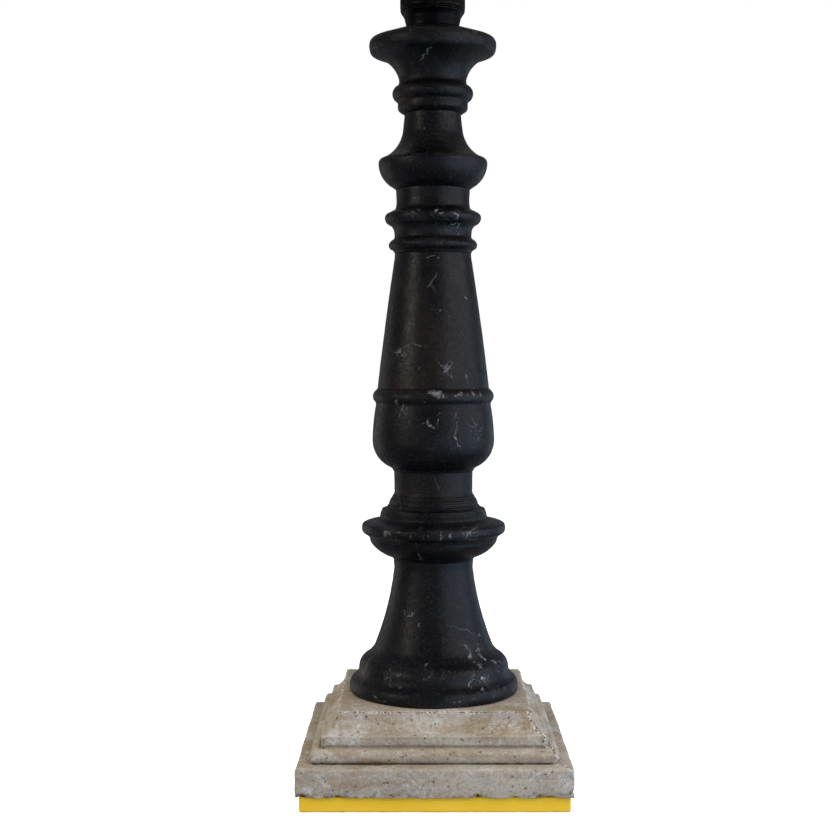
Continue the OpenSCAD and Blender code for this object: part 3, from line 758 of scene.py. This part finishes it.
def square_path(half, corner, per_side, per_corner):
    """Points round a square with rounded corners, starting at the front left."""
    steps = np.linspace(-1, 1, per_side)
    turns = np.linspace(0, math.pi / 2, per_corner + 2)[1:-1]
    flat = half - corner
    side = [(flat * t, -half) for t in steps]
    bend = [(flat + corner * math.sin(a), -flat - corner * math.cos(a)) for a in turns]
    quarter = np.array(side + bend)
    rounds = []
    for k in range(4):
        c, s = math.cos(k * math.pi / 2), math.sin(k * math.pi / 2)
        rounds.append(quarter @ np.array([[c, s], [-s, c]]))
    return np.vstack(rounds)


def square_rows(line, corner, per_side, per_corner):
    """Rows of points that carry the outline round a square."""
    rows = []
    for half, height in line:
        path = square_path(half, min(corner, half * 0.9), per_side, per_corner)
        rows.append(np.column_stack([path, np.full(len(path), height)]))
    return np.array(rows)


LOW_CAP = 4
HIGH_CAP = 36


def capped_rows(rows):
    """Adds rows that close a square block over its top and underside."""
    def shrunk(row, steps):
        shares = np.linspace(1, 0.02, steps + 1)[1:]
        return [row * [share, share, 1] for share in shares]

    return np.array(shrunk(rows[0], LOW_CAP)[::-1] + list(rows) + shrunk(rows[-1], HIGH_CAP))


def square_block(line, corner, per_side, per_corner):
    """Points of a capped square block, and how many rows and columns they are in."""
    rows = capped_rows(square_rows(line, corner, per_side, per_corner))
    return rows.reshape(-1, 3), len(rows), rows.shape[1]


def block_normals(points, rows, columns):
    """Unit normals of a block's points."""
    faces = quads(rows, columns)
    corners = points[faces]
    normal = np.cross(corners[:, 2] - corners[:, 0], corners[:, 3] - corners[:, 1])
    total = np.zeros_like(points)
    for k in range(4):
        np.add.at(total, faces[:, k], normal)
    return total / np.maximum(np.linalg.norm(total, axis=1), 1e-12)[:, None]


def plinth():
    """Cast concrete plinth with worn, broken arrises and air holes."""
    line = even(curved(mitre_outline("plinth"), 0.4 * MM), 0.5 * MM)
    line = softened(line, 2)
    crease = concavity(line)
    points, rows, columns = square_block(line, 1.2 * MM, 260, 6)
    normals = block_normals(points, rows, columns)
    x, y, z = points.T
    bottom, top = heights("plinth")
    half = reach("plinth")
    slab_side = 70 * MM
    ledge_height = bottom + 35.6 * MM
    band_height = bottom + 40 * MM
    side = squareness(points)
    other = np.minimum(np.abs(x), np.abs(y))
    shown = z > bottom + 0.01 * MM
    lump = 0.35 * MM * rough(points, 26 * MM, 3) + 0.16 * MM * rough(points, 4 * MM, 3, 4)
    grain = 0.10 * MM * rough(points, 1.4 * MM, 2, 11)
    push = lump + grain
    # arrises: the mitred corners, the top edge and the slab's foot crumble
    top_half = line[-1, 0]
    sloping = side > top_half - 0.5 * MM
    mitre = np.clip(1 - (side - other) / (3.2 * MM), 0, 1) * sloping
    top_edge = np.exp(-((z - top) ** 2 + (side - top_half) ** 2) / (1.1 * MM) ** 2)
    foot_edge = np.clip(1 - (z - bottom) / (3.4 * MM), 0, 1) * (side > half - 3 * MM)
    ledge = np.clip(1 - np.abs(z - ledge_height) / (1.2 * MM), 0, 1)
    crumb = np.clip(rough(points, 5 * MM, 4, 17) + 0.12, 0, 1)
    fine_crumb = rough(points, 1.6 * MM, 2, 23)
    push -= 2.4 * MM * foot_edge**1.3 * crumb + 0.5 * MM * foot_edge * np.abs(fine_crumb)
    push -= 1.5 * MM * mitre * np.clip(crumb - 0.1, 0, 1)
    push += top_edge * 1.2 * MM * fine_crumb - top_edge * 0.4 * MM
    push += ledge * 0.45 * MM * (side > slab_side) * (1 + rough(points, 18 * MM, 2, 29))
    # the right front mitre carries a ragged fin of set mortar and a run of chips
    front_right = (x > 0) * (y < 0) * (z > bottom + 18 * MM) * sloping
    wander = 1.5 * MM * rough(points * [0, 0, 1], 4 * MM, 3, 31)
    past = x + y + wander
    right_front = np.exp(-((past + 2.4 * MM) / (1.3 * MM)) ** 2) * front_right
    crevice = np.exp(-((past - 0.2 * MM) / (1.1 * MM)) ** 2) * front_right
    push += right_front * (0.8 * MM + 1.6 * MM * rough(points, 3.5 * MM, 3, 33))
    push -= crevice * 2.0 * MM
    creases = np.zeros((rows, columns))
    creases[LOW_CAP:LOW_CAP + len(line)] = crease[:, None]
    creases = creases.reshape(-1)
    push -= 0.8 * MM * creases
    # bottom right corner knocked off
    knock = falloff(points, np.array([half, -half, bottom]), 9 * MM)
    push -= knock * (1.6 * MM + 1.2 * MM * crumb)
    pit = np.zeros(len(points))
    candidates = np.flatnonzero(shown & (side > top_half - 1 * MM))
    for _ in range(420):
        centre = points[random.choice(candidates)]
        size = random.uniform(0.45, 0.95) * MM
        near = np.flatnonzero(np.abs(points - centre).max(axis=1) < size)
        hit = falloff(points[near], centre, size)
        push[near] -= hit * size * 0.9
        pit[near] = np.maximum(pit[near], np.sqrt(hit))
    points = points + normals * (push * shown)[:, None]
    above = (z - bottom) / MM
    sag = np.interp(above, [13, 19, 23, 27.5], [0, 1, 1, 0])
    points[:, 2] -= 1.1 * MM * sag * (side > slab_side)
    points[:, 2] += foot_edge * np.clip(rough(points, 7 * MM, 4, 41) + 0.05, 0, 1) * 3.4 * MM
    stain_and_warm_light = np.clip(rough(points * [1, 1, 2.2], 30 * MM, 3, 51) * 1.6, 0, 1)
    right_side = np.clip((x + 5 * MM) / (30 * MM), 0, 1) * (y < 0)
    upper_band = np.clip(1 - np.abs(z - band_height) / (9 * MM), 0, 1)
    # painted warm light: the whole left face gets a share of the brown staining colour
    painted_warm_light_left = (x < 0) * (np.abs(x) > np.abs(y)) * 0.35
    stain_and_warm_light = np.maximum(stain_and_warm_light, np.maximum(right_side * upper_band, painted_warm_light_left))
    broken = np.clip(np.maximum(top_edge * 1.4, right_front * 0.9), 0, 1)
    # hollow marks the creases and the mitre crevice, which the concrete paints darker as shade
    attributes = {"pit": pit, "broken": broken, "stain_and_warm_light": stain_and_warm_light, "hollow": np.maximum(creases, crevice)}
    made = piece("concrete_plinth", points, closed_faces(rows, columns), "stand", "concrete",
                 attributes)
    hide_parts("plinth")


def board():
    """Painted board with softened edges."""
    bottom, top = heights("base_board")
    half = reach("base_board")
    edge = 0.5 * MM
    line = np.array([[half - edge, bottom], [half, bottom + edge], [half, top - edge],
                     [half - edge, top]])
    line = softened(even(line, 0.35 * MM), 2)
    points, rows, columns = square_block(line, 0.9 * MM, 120, 5)
    normals = block_normals(points, rows, columns)
    ends = np.minimum(points[:, 2] - bottom, top - points[:, 2])
    wear = np.clip(1 - ends / (1.2 * MM), 0, 1)
    wear *= squareness(points) > half - 2 * MM
    push = 0.12 * MM * rough(points, 30 * MM, 2, 61) + 0.03 * MM * rough(points, 3 * MM, 2, 63)
    push -= wear * 0.5 * MM * np.clip(rough(points, 6 * MM, 3, 67), 0, 1)
    points = points + normals * push[:, None]
    made = piece("painted_board", points, closed_faces(rows, columns), "stand", "yellow_paint",
                 {"wear": wear})
    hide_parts("base_board")


def felt_pad():
    """Felt pad with a slightly furry, uneven edge."""
    bottom, top = heights("felt_pad")
    half = reach("felt_pad")
    line = np.array([[half - 0.3 * MM, bottom], [half, bottom + 0.3 * MM], [half, top - 0.2 * MM],
                     [half - 0.3 * MM, top]])
    points, rows, columns = square_block(even(line, 0.25 * MM), 2 * MM, 260, 5)
    edge = squareness(points) > half - 1 * MM
    fuzz = 0.35 * MM * rough(points, 2.2 * MM, 3, 71) * edge
    points[:, :2] *= 1 + fuzz[:, None] / half
    made = piece("felt_pad_visual", points, closed_faces(rows, columns), "stand", "felt")
    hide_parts("felt_pad")


plinth()
board()
felt_pad()


# ---------------------------------------------------------------- lamp holder

def closed_loop(outer, inner, step, passes=2):
    """A closed section from an outer line going up and an inner line going down."""
    outer = softened(even(np.asarray(outer), step), passes)
    inner = even(np.asarray(inner), step * 4)
    return np.vstack([outer, inner])


def thread(pitch, depth, start, end, inner_radius):
    """Warp that cuts a round thread between two heights on whatever is outside inner_radius."""
    def warp(points):
        angle = np.arctan2(points[:, 1], points[:, 0])
        phase = (points[:, 2] - start) / pitch - angle / TURN
        ends = np.minimum(points[:, 2] - start, end - points[:, 2]) / pitch
        fade = np.clip(ends * 1.5, 0, 1) * (from_axis(points) > inner_radius)
        return -depth * (0.5 - 0.5 * np.cos(phase * TURN)) * fade
    return warp


def ribs(count, depth, start, end, inner_radius):
    """Warp that raises round ribs along Z between two heights."""
    def warp(points):
        angle = np.arctan2(points[:, 1], points[:, 0])
        ends = np.minimum(points[:, 2] - start, end - points[:, 2]) / (0.8 * MM)
        fade = np.clip(ends, 0, 1) * (from_axis(points) > inner_radius)
        return -depth * (0.5 - 0.5 * np.cos(angle * count)) ** 2 * fade
    return warp


def moulded(name, outer, inner, step, body, columns, warp=None):
    """A turned bakelite piece with worn arrises."""
    loop = closed_loop(outer, inner, step)
    wear = np.repeat(convexity(loop), columns)
    return turned_piece(name, loop, body, "bakelite", columns, warp, {"wear": wear})


WALL = 2.2 * MM


def holder_cap():
    """Domed lower half of the holder, with a boss for the threaded tube inside."""
    outer = curved(turned_outline("holder_cap", 18 * MM), 0.4 * MM)
    (neck, bottom), (shoulder, top) = outer[0], outer[-1]
    boss, clearance = 7.5 * MM, 5.05 * MM
    boss_low, boss_high = bottom + 2.2 * MM, bottom + 8.2 * MM
    inner = [[shoulder - WALL - 1 * MM, top], [neck - WALL, boss_high], [boss, boss_high],
             [boss, boss_low], [clearance, boss_low], [clearance, bottom]]
    made = moulded("bakelite_cap", outer, inner, 0.4 * MM, "stand", 160)
    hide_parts("holder_cap")


def cut_slots(made, radius):
    """Cuts the push bar's two slots through the barrel."""
    bar_low, bar_high = low("switch_bar"), high("switch_bar")
    size = [2.4 * radius, bar_high[1] - bar_low[1], bar_high[2] - bar_low[2]]
    mesh = bpy.data.meshes.new("slot_cutter")
    shape = bmesh.new()
    bmesh.ops.create_cube(shape, size=1.0)
    bmesh.ops.scale(shape, vec=size, verts=shape.verts)
    bmesh.ops.translate(shape, vec=(0, 0, (bar_low[2] + bar_high[2]) / 2), verts=shape.verts)
    shape.to_mesh(mesh)
    shape.free()
    cutter = bpy.data.objects.new("slot_cutter", mesh)
    bpy.context.scene.collection.objects.link(cutter)
    cut = made.modifiers.new("slots", "BOOLEAN")
    cut.object = cutter
    cut.solver = "EXACT"
    graph = bpy.context.evaluated_depsgraph_get()
    done = bpy.data.meshes.new_from_object(made.evaluated_get(graph))
    made.modifiers.clear()
    made.data = done
    bpy.data.objects.remove(cutter)


def holder_barrel():
    """Ribbed barrel of the holder, with a slot on each side for the push bar."""
    base, top = heights("holder_barrel")
    radius = reach("holder_barrel")
    outer = [[radius - 0.5 * MM, base], [radius, base + 0.6 * MM], [radius, top - 1.2 * MM],
             [radius - 1 * MM, top]]
    inner = [[radius - WALL, top], [radius - WALL, base]]
    warp = ribs(60, 0.5 * MM, base + 2.2 * MM, top - 4 * MM, radius - 1.2 * MM)
    made = moulded("bakelite_barrel", outer, inner, 0.5 * MM, "stand", 360, warp)
    cut_slots(made, radius)
    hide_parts("holder_barrel")


def holder_skirt():
    """Threaded skirt that carries the two shade rings."""
    base, top = heights("holder_skirt")
    radius = reach("holder_skirt")
    inside = 14.9 * MM
    outer = [[radius, base], [radius, top - 0.8 * MM], [radius - 0.8 * MM, top]]
    inner = [[inside + 0.6 * MM, top], [inside, top - 0.6 * MM], [inside, base]]
    warp = thread(2.5 * MM, 0.55 * MM, base + 1.4 * MM, top - 1 * MM, inside + 2 * MM)
    made = moulded("bakelite_skirt", outer, inner, 0.3 * MM, "stand", 180, warp)
    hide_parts("holder_skirt")


def shade_ring(node, body, flange_low):
    """Ring nut with a flange on one face and a ribbed grip."""
    base, top = heights(node)
    tall = top - base
    flange = reach(node)
    grip = 24.4 * MM
    bore = reach("holder_skirt") + 0.1 * MM
    lip = 2.4 * MM
    outer = np.array([
        [flange - 0.5 * MM, 0], [flange, 0.5 * MM], [flange, lip - 0.5 * MM],
        [flange - 0.5 * MM, lip], [grip + 0.4 * MM, lip], [grip, lip + 0.5 * MM],
        [grip, tall - 0.6 * MM], [grip - 0.6 * MM, tall],
    ])
    if not flange_low:
        outer = (outer * [1, -1] + [0, tall])[::-1]
    start, end = (base + lip, top) if flange_low else (base, top - lip)
    warp = ribs(36, 0.7 * MM, start + 0.6 * MM, end - 0.6 * MM, grip - 1 * MM)

    def grip_warp(points):
        return warp(points) * (from_axis(points) < grip + 0.2 * MM)

    made = moulded(node + "_moulded", outer + [0, base], [[bore, top], [bore, base]], 0.3 * MM,
                   body, 288, grip_warp)
    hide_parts(node)


def switch_bar():
    """Push bar with rounded, grooved ends and a wider middle that fills the slots from inside."""
    lowest, highest = np.array(low("switch_bar")), np.array(high("switch_bar"))
    centre, half = (lowest + highest) / 2, (highest - lowest) / 2
    middle, slimmer, groove_pitch = 14 * MM, 0.3 * MM, 1.5 * MM
    count, sides = 120, 64
    cosine, sine = np.cos(around(sides)), np.sin(around(sides))
    along = np.cos(np.linspace(math.pi, 0, count))
    along = np.sign(along) * np.abs(along) ** 0.7
    rows = []
    for t in along:
        inside = abs(t) * half[0] < middle
        corner = 20.0 if inside else 4.0
        width, height = half[1:] - (0 if inside else slimmer)
        crown = max(0.0, 1 - abs(t) ** 16) ** (1 / 3)
        grooved = abs(math.sin(t * half[0] / groove_pitch * math.pi)) < 0.3 and abs(t) > 0.86
        shrink = max(crown, 0.02) * (0.95 if grooved else 1)
        rows.append(np.column_stack([
            np.full(sides, centre[0] + t * half[0]),
            centre[1] + np.sign(cosine) * np.abs(cosine) ** (2 / corner) * width * shrink,
            centre[2] + np.sign(sine) * np.abs(sine) ** (2 / corner) * height * shrink,
        ]))
    faces = closed_faces(count, sides, inward=True)
    made = piece("push_bar", np.vstack(rows), faces, "switch", "bakelite")
    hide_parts("switch_bar")


holder_cap()
holder_barrel()
holder_skirt()
shade_ring("lower_shade_ring", "lower_ring", False)
shade_ring("upper_shade_ring", "upper_ring", True)
switch_bar()


# ---------------------------------------------------------------- bulb

def bulb_cap():
    """Screw cap of the bulb, a thin shell with a rolled thread."""
    base, top = heights("bulb_cap")
    radius = reach("bulb_cap")
    wall = 0.5 * MM
    outer = curved(np.array([
        [radius - 1.6 * MM, base], [radius, base + 1.6 * MM], [radius, top - 1 * MM],
        [radius - 0.2 * MM, top]]), 0.3 * MM)
    inner = outer[::-1] - np.array([wall * 3.4, 0])
    loop = closed_loop(outer, inner, 0.25 * MM, 3)
    warp = thread(3.6 * MM, 1.1 * MM, base + 1.8 * MM, top - 2.4 * MM, radius - 1.3 * MM)
    made = turned_piece("bulb_screw_cap", loop, "bulb", "nickel", 180, warp)
    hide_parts("bulb_cap")


def thread_shell():
    """Brass screw shell that the bulb's cap turns into."""
    base, top = heights("thread_shell")
    radius = reach("thread_shell")
    outer = even(np.array([[radius, base], [radius, top]]), 0.35 * MM)
    loop = np.vstack([outer, outer[::-1] - [0.6 * MM, 0]])
    warp = thread(3.6 * MM, 0.3 * MM, base + 1 * MM, top - 1 * MM, 0)
    made = turned_piece("brass_screw_shell", loop, "stand", "brass", 144, warp)
    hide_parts("thread_shell")


def bulb_glass():
    """Pear shaped glass with a real wall, its neck run into the cap."""
    base = low("bulb_contact")[2]
    side = np.array([
        [12.9, 25.2], [13.6, 31], [15.8, 38], [21.2, 48], [26.2, 58], [29.1, 68],
        [29.7, 76], [28.3, 86], [24.2, 95], [17.2, 102.2], [8.8, 106.1], [0.3, 107],
    ]) * MM + np.array([0, base])
    outer = even(curved(side, 1.2 * MM, math.radians(80)), 1.2 * MM)
    ways = unit_length(np.gradient(outer, axis=0))
    inner = outer + 0.9 * MM * np.column_stack([-ways[:, 1], ways[:, 0]])
    inner[:, 0] = np.maximum(inner[:, 0], 0.1 * MM)
    loop = np.vstack([outer, inner[::-1]])
    made = turned_piece("bulb_envelope", loop, "bulb", "clear_glass", 96)
    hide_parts("bulb_glass")


def tube_mesh(path, radius, sides=14):
    """Points and faces of a round rod along a path, closed at both ends."""
    path = np.asarray(path, dtype=float)
    ways = unit_length(np.gradient(path, axis=0))
    side = np.cross(ways[0], [0.31, 0.17, 0.93])
    rows = []
    for point, way in zip(path, ways):
        side = side - way * np.dot(side, way)
        side = side / np.linalg.norm(side)
        up = np.cross(way, side)
        angle = around(sides)[:, None]
        rows.append(point + radius * (np.cos(angle) * side + np.sin(angle) * up))
    return np.vstack(rows), closed_faces(len(path), sides)


def joined(meshes):
    """Several meshes as one list of points and one list of faces."""
    points, faces, start = [], [], 0
    for some_points, some_faces in meshes:
        points.append(some_points)
        faces += [[i + start for i in f] for f in some_faces]
        start += len(some_points)
    return np.vstack(points), faces


def level_way(angle):
    """Level unit vector at an angle from +X."""
    return np.array([math.cos(angle), math.sin(angle), 0])


def filament_supports():
    """Lead wires between the glass stem and the ends of the four filaments."""
    stem_top = high("bulb_stem")[2]
    filament_low, filament_high = heights("bulb_filament")
    meshes = []
    for k in range(4):
        way = level_way(TURN * (k + 0.5) / 4)
        t = np.linspace(0, 1, 14)[:, None]
        lower = way * (1.4 + 5.9 * t**0.7) * MM
        lower[:, 2] = filament_low + (-3.5 + 4.1 * t[:, 0] ** 2) * MM
        upper = way * (1.2 + 9.6 * np.sin(t * math.pi / 2)) * MM
        upper[:, 2] = stem_top - 0.5 * MM + (filament_high - stem_top + 0.1 * MM) * t[:, 0]
        meshes += [tube_mesh(lower, 0.22 * MM, 8), tube_mesh(upper, 0.22 * MM, 8)]
    points, faces = joined(meshes)
    piece("filament_leads", points, faces, "bulb", "nickel")


bulb_glass()
filament_supports()
bulb_cap()
thread_shell()

# ---------------------------------------------------------------- shade

LOWER_RIM = reach("shade_panel")
SHADE_LOW, SHADE_HIGH = heights("shade_panel")
# The upper tape is widest at its lower edge, so this rim is 1.7 mm outside the CAD panel's own, and
# the upper wire comes about 1 mm through the fold's inner side.
UPPER_RIM = reach("upper_hem_tape") - 0.9 * MM
PANEL = 0.8 * MM
LAP = 0.45 * MM
CLOTH_COLUMNS = 540
SLANT = math.hypot(SHADE_HIGH - SHADE_LOW, LOWER_RIM - UPPER_RIM)
SPREAD = (LOWER_RIM - UPPER_RIM) / SLANT


def rim_radius(height):
    """Outer radius of the panel at a height."""
    return LOWER_RIM + (UPPER_RIM - LOWER_RIM) * (height - SHADE_LOW) / (SHADE_HIGH - SHADE_LOW)


def flat_pattern(points):
    """Where each point lies on the flat cut cloth: across it and along it."""
    angle = azimuths(points) * SPREAD
    distance = rim_radius(points[:, 2]) / SPREAD
    return distance * np.sin(angle), distance * np.cos(angle)


def seam_lap(points):
    """1 on the lapped seam at the back of the shade."""
    return (np.abs(points[:, 0]) < 6.5 * MM) & (points[:, 1] > 0)


def shade_panel():
    """Conical laminated panel with a lapped seam at the back."""
    levels = np.linspace(SHADE_LOW, SHADE_HIGH, 60)
    outer = np.column_stack([rim_radius(levels), levels])
    loop = np.vstack([outer, outer[::-1] - [PANEL, 0]])
    points = spun(loop, CLOTH_COLUMNS)
    wave = 0.35 * MM * rough(points * [1, 1, 0.4], 120 * MM, 2, 81)
    outside = np.arange(len(points)) < len(outer) * CLOTH_COLUMNS
    points = pushed(points, wave + LAP * seam_lap(points) * outside)
    across, along = flat_pattern(points)
    made = ring_piece("shade_cloth", points, CLOTH_COLUMNS, "shade", "linen",
                      {"across": across, "along": along})
    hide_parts("shade_panel")
    return made


def strip_loop(line, thickness, step):
    """A closed section of even thickness along a line."""
    line = softened(even(np.asarray(line), step), 4)
    ways = unit_length(np.gradient(line, axis=0))
    out = np.column_stack([ways[:, 1], -ways[:, 0]]) * thickness / 2
    return np.vstack([line + out, (line - out)[::-1]])


def hem(node, edge, side):
    """Tape folded over an edge of the panel and its wire, with small puckers."""
    rim = rim_radius(edge)
    back = rim - 4.4 * MM
    far = edge + side * 12 * MM
    fold = edge - side * 0.28 * MM
    line = [[rim_radius(far) + 0.3 * MM, far], [rim + 0.3 * MM, edge],
            [rim - 0.8 * MM, fold], [back + 1 * MM, fold],
            [back, edge + side * 0.8 * MM], [back - side * 0.4 * MM, edge + side * 4 * MM]]
    if side > 0:
        line = line[::-1]
    points = spun(strip_loop(line, 0.42 * MM, 0.6 * MM), CLOTH_COLUMNS)
    pucker = 0.10 * MM * rough(points * [1, 1, 0.3], 9 * MM, 3, 91)
    points = pushed(points, pucker + LAP * seam_lap(points))
    made = ring_piece(node + "_cloth", points, CLOTH_COLUMNS, "shade", "hem_tape",
                      {"across": azimuths(points) * rim, "along": points[:, 2]})
    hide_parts(node)
    return made


def ring_size(node):
    """Wire radius, ring radius and middle height of a ring of round wire."""
    bottom, top = heights(node)
    radius = (top - bottom) / 2
    return radius, reach(node) - radius, (top + bottom) / 2


def wire(node):
    """Round frame wire, painted, with the ends' weld at the back."""
    radius, ring_radius, centre = ring_size(node)
    steps, sides = 240, 20
    path = spun(np.array([[ring_radius, centre]]), steps)
    out = path * [1, 1, 0] / ring_radius
    turn = around(sides)
    rows = [p + radius * (np.outer(np.cos(turn), o) + np.outer(np.sin(turn), [0, 0, 1]))
            for p, o in zip(path, out)]
    points = np.vstack(rows)
    weld = falloff(points, np.array([0, ring_radius, centre]), 6 * MM)
    centres = np.repeat(path, sides, axis=0)
    points = centres + (points - centres) * (1 + 0.04 * weld * rough(points, 2 * MM, 2))[:, None]
    faces = quads(steps, sides, close_rows=True)[:, ::-1]
    made = piece(node + "_round", points, faces, "shade", "white_wire")
    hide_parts(node)


def weld_bead(centre, size):
    """A lumpy bead of weld metal."""
    rows, columns = 12, 18
    tilt = math.pi * (np.arange(rows) + 0.5) / rows
    points = spun(np.column_stack([np.sin(tilt), np.cos(tilt)]), columns)
    points = points * (1 + 0.14 * rough(points, 0.7, 2, centre[0] * 1000))[:, None]
    return points * size + centre, closed_faces(rows, columns, inward=True)


def shade_arms():
    """Three rods welded to the fitter's rim and to the lower wire."""
    wire_radius, end_radius, end_height = ring_size("shade_bottom_wire")
    rod_radius = wire_radius - 0.2 * MM
    start_radius = reach("shade_fitter") - wire_radius
    start_height = sum(heights("shade_fitter")) / 2
    meshes = []
    for k in range(3):
        way = level_way(math.radians(90 + 120 * k))
        t = np.linspace(0, 1, 60)[:, None]
        path = way * (start_radius + (end_radius - start_radius) * t)
        path[:, 2] = start_height + (end_height - start_height) * t[:, 0]
        meshes.append(tube_mesh(path, rod_radius, 18))
        meshes.append(weld_bead(path[1] + [0, 0, 0.5 * MM], np.array([2.3, 2.3, 1.5]) * MM))
        meshes.append(weld_bead(path[-1] - way * 1.2 * MM, np.array([1.9, 1.9, 1.7]) * MM))
    points, faces = joined(meshes)
    made = piece("shade_spokes", points, faces, "shade", "white_wire")
    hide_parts("shade_arms")


def shade_fitter():
    """Stamped ring with rolled edges that sits between the two shade rings."""
    bore, rim = reach("holder_skirt") + 0.6 * MM, reach("shade_fitter")
    bottom, top = heights("shade_fitter")
    edge = 0.4 * MM
    line = np.array([
        [bore + edge, bottom], [rim - edge, bottom], [rim, bottom + edge], [rim, top - edge],
        [rim - edge, top], [bore + edge, top], [bore, top - edge], [bore, bottom + edge],
        [bore + edge, bottom],
    ])
    loop = even(line, 0.3 * MM)[:-1]
    made = turned_piece("fitter_ring", loop, "shade", "white_wire", 160)
    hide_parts("shade_fitter")


cloth = shade_panel()
tapes = [hem("lower_hem_tape", SHADE_LOW, 1), hem("upper_hem_tape", SHADE_HIGH, -1)]
wire("shade_bottom_wire")
wire("shade_top_wire")
shade_arms()
shade_fitter()


for name, node in frame["nodes"].items():
    slot_name = next(s["material_slot"] for s in frame["record"]["subparts"] if s["node"] == name)
    node.data.materials.clear()
    node.data.materials.append(MATERIALS[slot_name])


# ---------------------------------------------------------------- stage

def camera():
    """The camera stands a metre in front of the lamp, a little above the middle of the column."""
    data = bpy.data.cameras.new("camera")
    data.lens = 62.2
    data.sensor_width = 36
    data.clip_end = 50
    obj = bpy.data.objects.new("camera", data)
    obj.location = (-7.2 * MM, -1.0, 296.8 * MM)
    down, roll, left = 2.47, 0.12, 0.313
    obj.rotation_euler = Euler([math.radians(a) for a in (90 - down, roll, left)], "XYZ")
    bpy.context.scene.collection.objects.link(obj)
    bpy.context.scene.camera = obj


def area_light(name, place, width, height, radiance, colour, mirrored):
    """A rectangular light. mirrored says whether polished surfaces show it."""
    data = bpy.data.lights.new(name, "AREA")
    data.shape = "RECTANGLE"
    data.size = width
    data.size_y = height
    data.energy = radiance * math.pi * width * height
    data.color = colour
    obj = bpy.data.objects.new(name, data)
    obj.location = place
    obj.visible_glossy = mirrored
    bpy.context.scene.collection.objects.link(obj)
    return obj


def softbox(name, start, end, distance, low_edge, high_edge, radiance, colour, mirrored=True):
    """An upright softbox that faces the lamp, between two azimuths in degrees from the front
    towards +X."""
    left, right = (Vector((distance * math.sin(angle), -distance * math.cos(angle), 0))
                   for angle in (math.radians(start), math.radians(end)))
    place = (left + right) / 2 + Vector((0, 0, (low_edge + high_edge) / 2))
    obj = area_light(name, place, (right - left).length, high_edge - low_edge, radiance, colour,
                     mirrored)
    way = Vector((-place.x, -place.y, 0))
    obj.rotation_euler = way.to_track_quat("-Z", "Y").to_euler()


def floor():
    """A pale floor, bright enough of itself to run into the white background."""
    mesh = bpy.data.meshes.new("floor")
    half = 8.0
    mesh.from_pydata([(-half, -half, 0), (half, -half, 0), (half, half, 0), (-half, half, 0)],
                     [], [(0, 1, 2, 3)])
    obj = bpy.data.objects.new("floor", mesh)
    shader = Shader("floor", Specular_IOR_Level=0.1, Emission_Color=(1, 1, 1, 1),
                    Emission_Strength=0.86)
    cloud = shader.noise(3, 3, 0.5)
    shader.colour(shader.mix(cloud, (0.80, 0.80, 0.80), (0.84, 0.84, 0.84)))
    shader.roughness(shader.span(cloud, 0.3, 0.7, 0.85, 0.95))
    mesh.materials.append(shader.material)
    bpy.context.scene.collection.objects.link(obj)
    obj.visible_diffuse = False
    obj.visible_glossy = False
    obj.visible_shadow = False


def world():
    """White to the camera, a pale room to matt surfaces and a dim one to reflections."""
    studio = bpy.data.worlds.new("studio")
    bpy.context.scene.world = studio
    studio.use_nodes = True
    tree = studio.node_tree
    seen = tree.nodes.new("ShaderNodeLightPath")
    colour = (0.17, 0.178, 0.20, 1)
    for ray, wanted in (("Is Diffuse Ray", (0.30, 0.30, 0.31, 1)), ("Is Camera Ray", (1, 1, 1, 1))):
        mix = tree.nodes.new("ShaderNodeMix")
        mix.data_type = "RGBA"
        if isinstance(colour, tuple):
            mix.inputs[6].default_value = colour
        else:
            tree.links.new(colour, mix.inputs[6])
        mix.inputs[7].default_value = wanted
        tree.links.new(seen.outputs[ray], mix.inputs["Factor"])
        colour = mix.outputs[2]
    tree.links.new(colour, tree.nodes["Background"].inputs["Color"])


WARM = (1.0, 0.94, 0.80)

camera()
world()
floor()
softbox("left_high_softbox", -66, -50, 1.4, 0.70, 0.88, 9.0, WARM)
softbox("left_softbox", -66, -50, 1.4, 0.50, 0.70, 5.5, WARM)
softbox("left_low_softbox", -66, -48, 1.4, -0.25, 0.50, 0.6, (1.0, 0.97, 0.90))
softbox("left_rear_softbox", -142, -114, 1.4, -0.30, 0.50, 0.5, (1.0, 0.93, 0.82))
softbox("right_low_window", 24, 100, 1.5, -0.60, -0.15, 1.5, (0.46, 0.68, 1.0))
softbox("right_window", 24, 104, 1.5, -0.15, 0.44, 1.95, (0.64, 0.75, 1.0))
softbox("right_wall", 24, 104, 1.5, 0.44, 0.66, 0.95, (0.95, 0.90, 0.98))
softbox("right_high_wall", 26, 104, 1.5, 0.66, 0.86, 3.3, (0.88, 0.90, 1.0))
softbox("right_shelf", 38, 72, 1.5, 0.86, 1.40, 1.3, (1.0, 0.60, 0.38))
softbox("right_rear_window", 122, 150, 1.5, -0.30, 0.45, 0.5, (0.55, 0.78, 1.0))
softbox("front_wall", -45, 20, 2.4, -0.60, 0.55, 0.30, (0.85, 0.92, 1.0))
softbox("left_fill", -135, -90, 1.4, -0.20, 0.80, 1.6, (1.0, 0.88, 0.72), False)
softbox("right_fill", 90, 135, 1.5, -0.20, 0.80, 1.5, (0.50, 0.76, 1.0), False)
# a level softbox above and in front of the lamp
area_light("overhead", (0, -1.2, 1.9), 2.6, 2.0, 2.0, (1.0, 0.97, 0.93), False)

bpy.context.scene.view_settings.view_transform = "Standard"
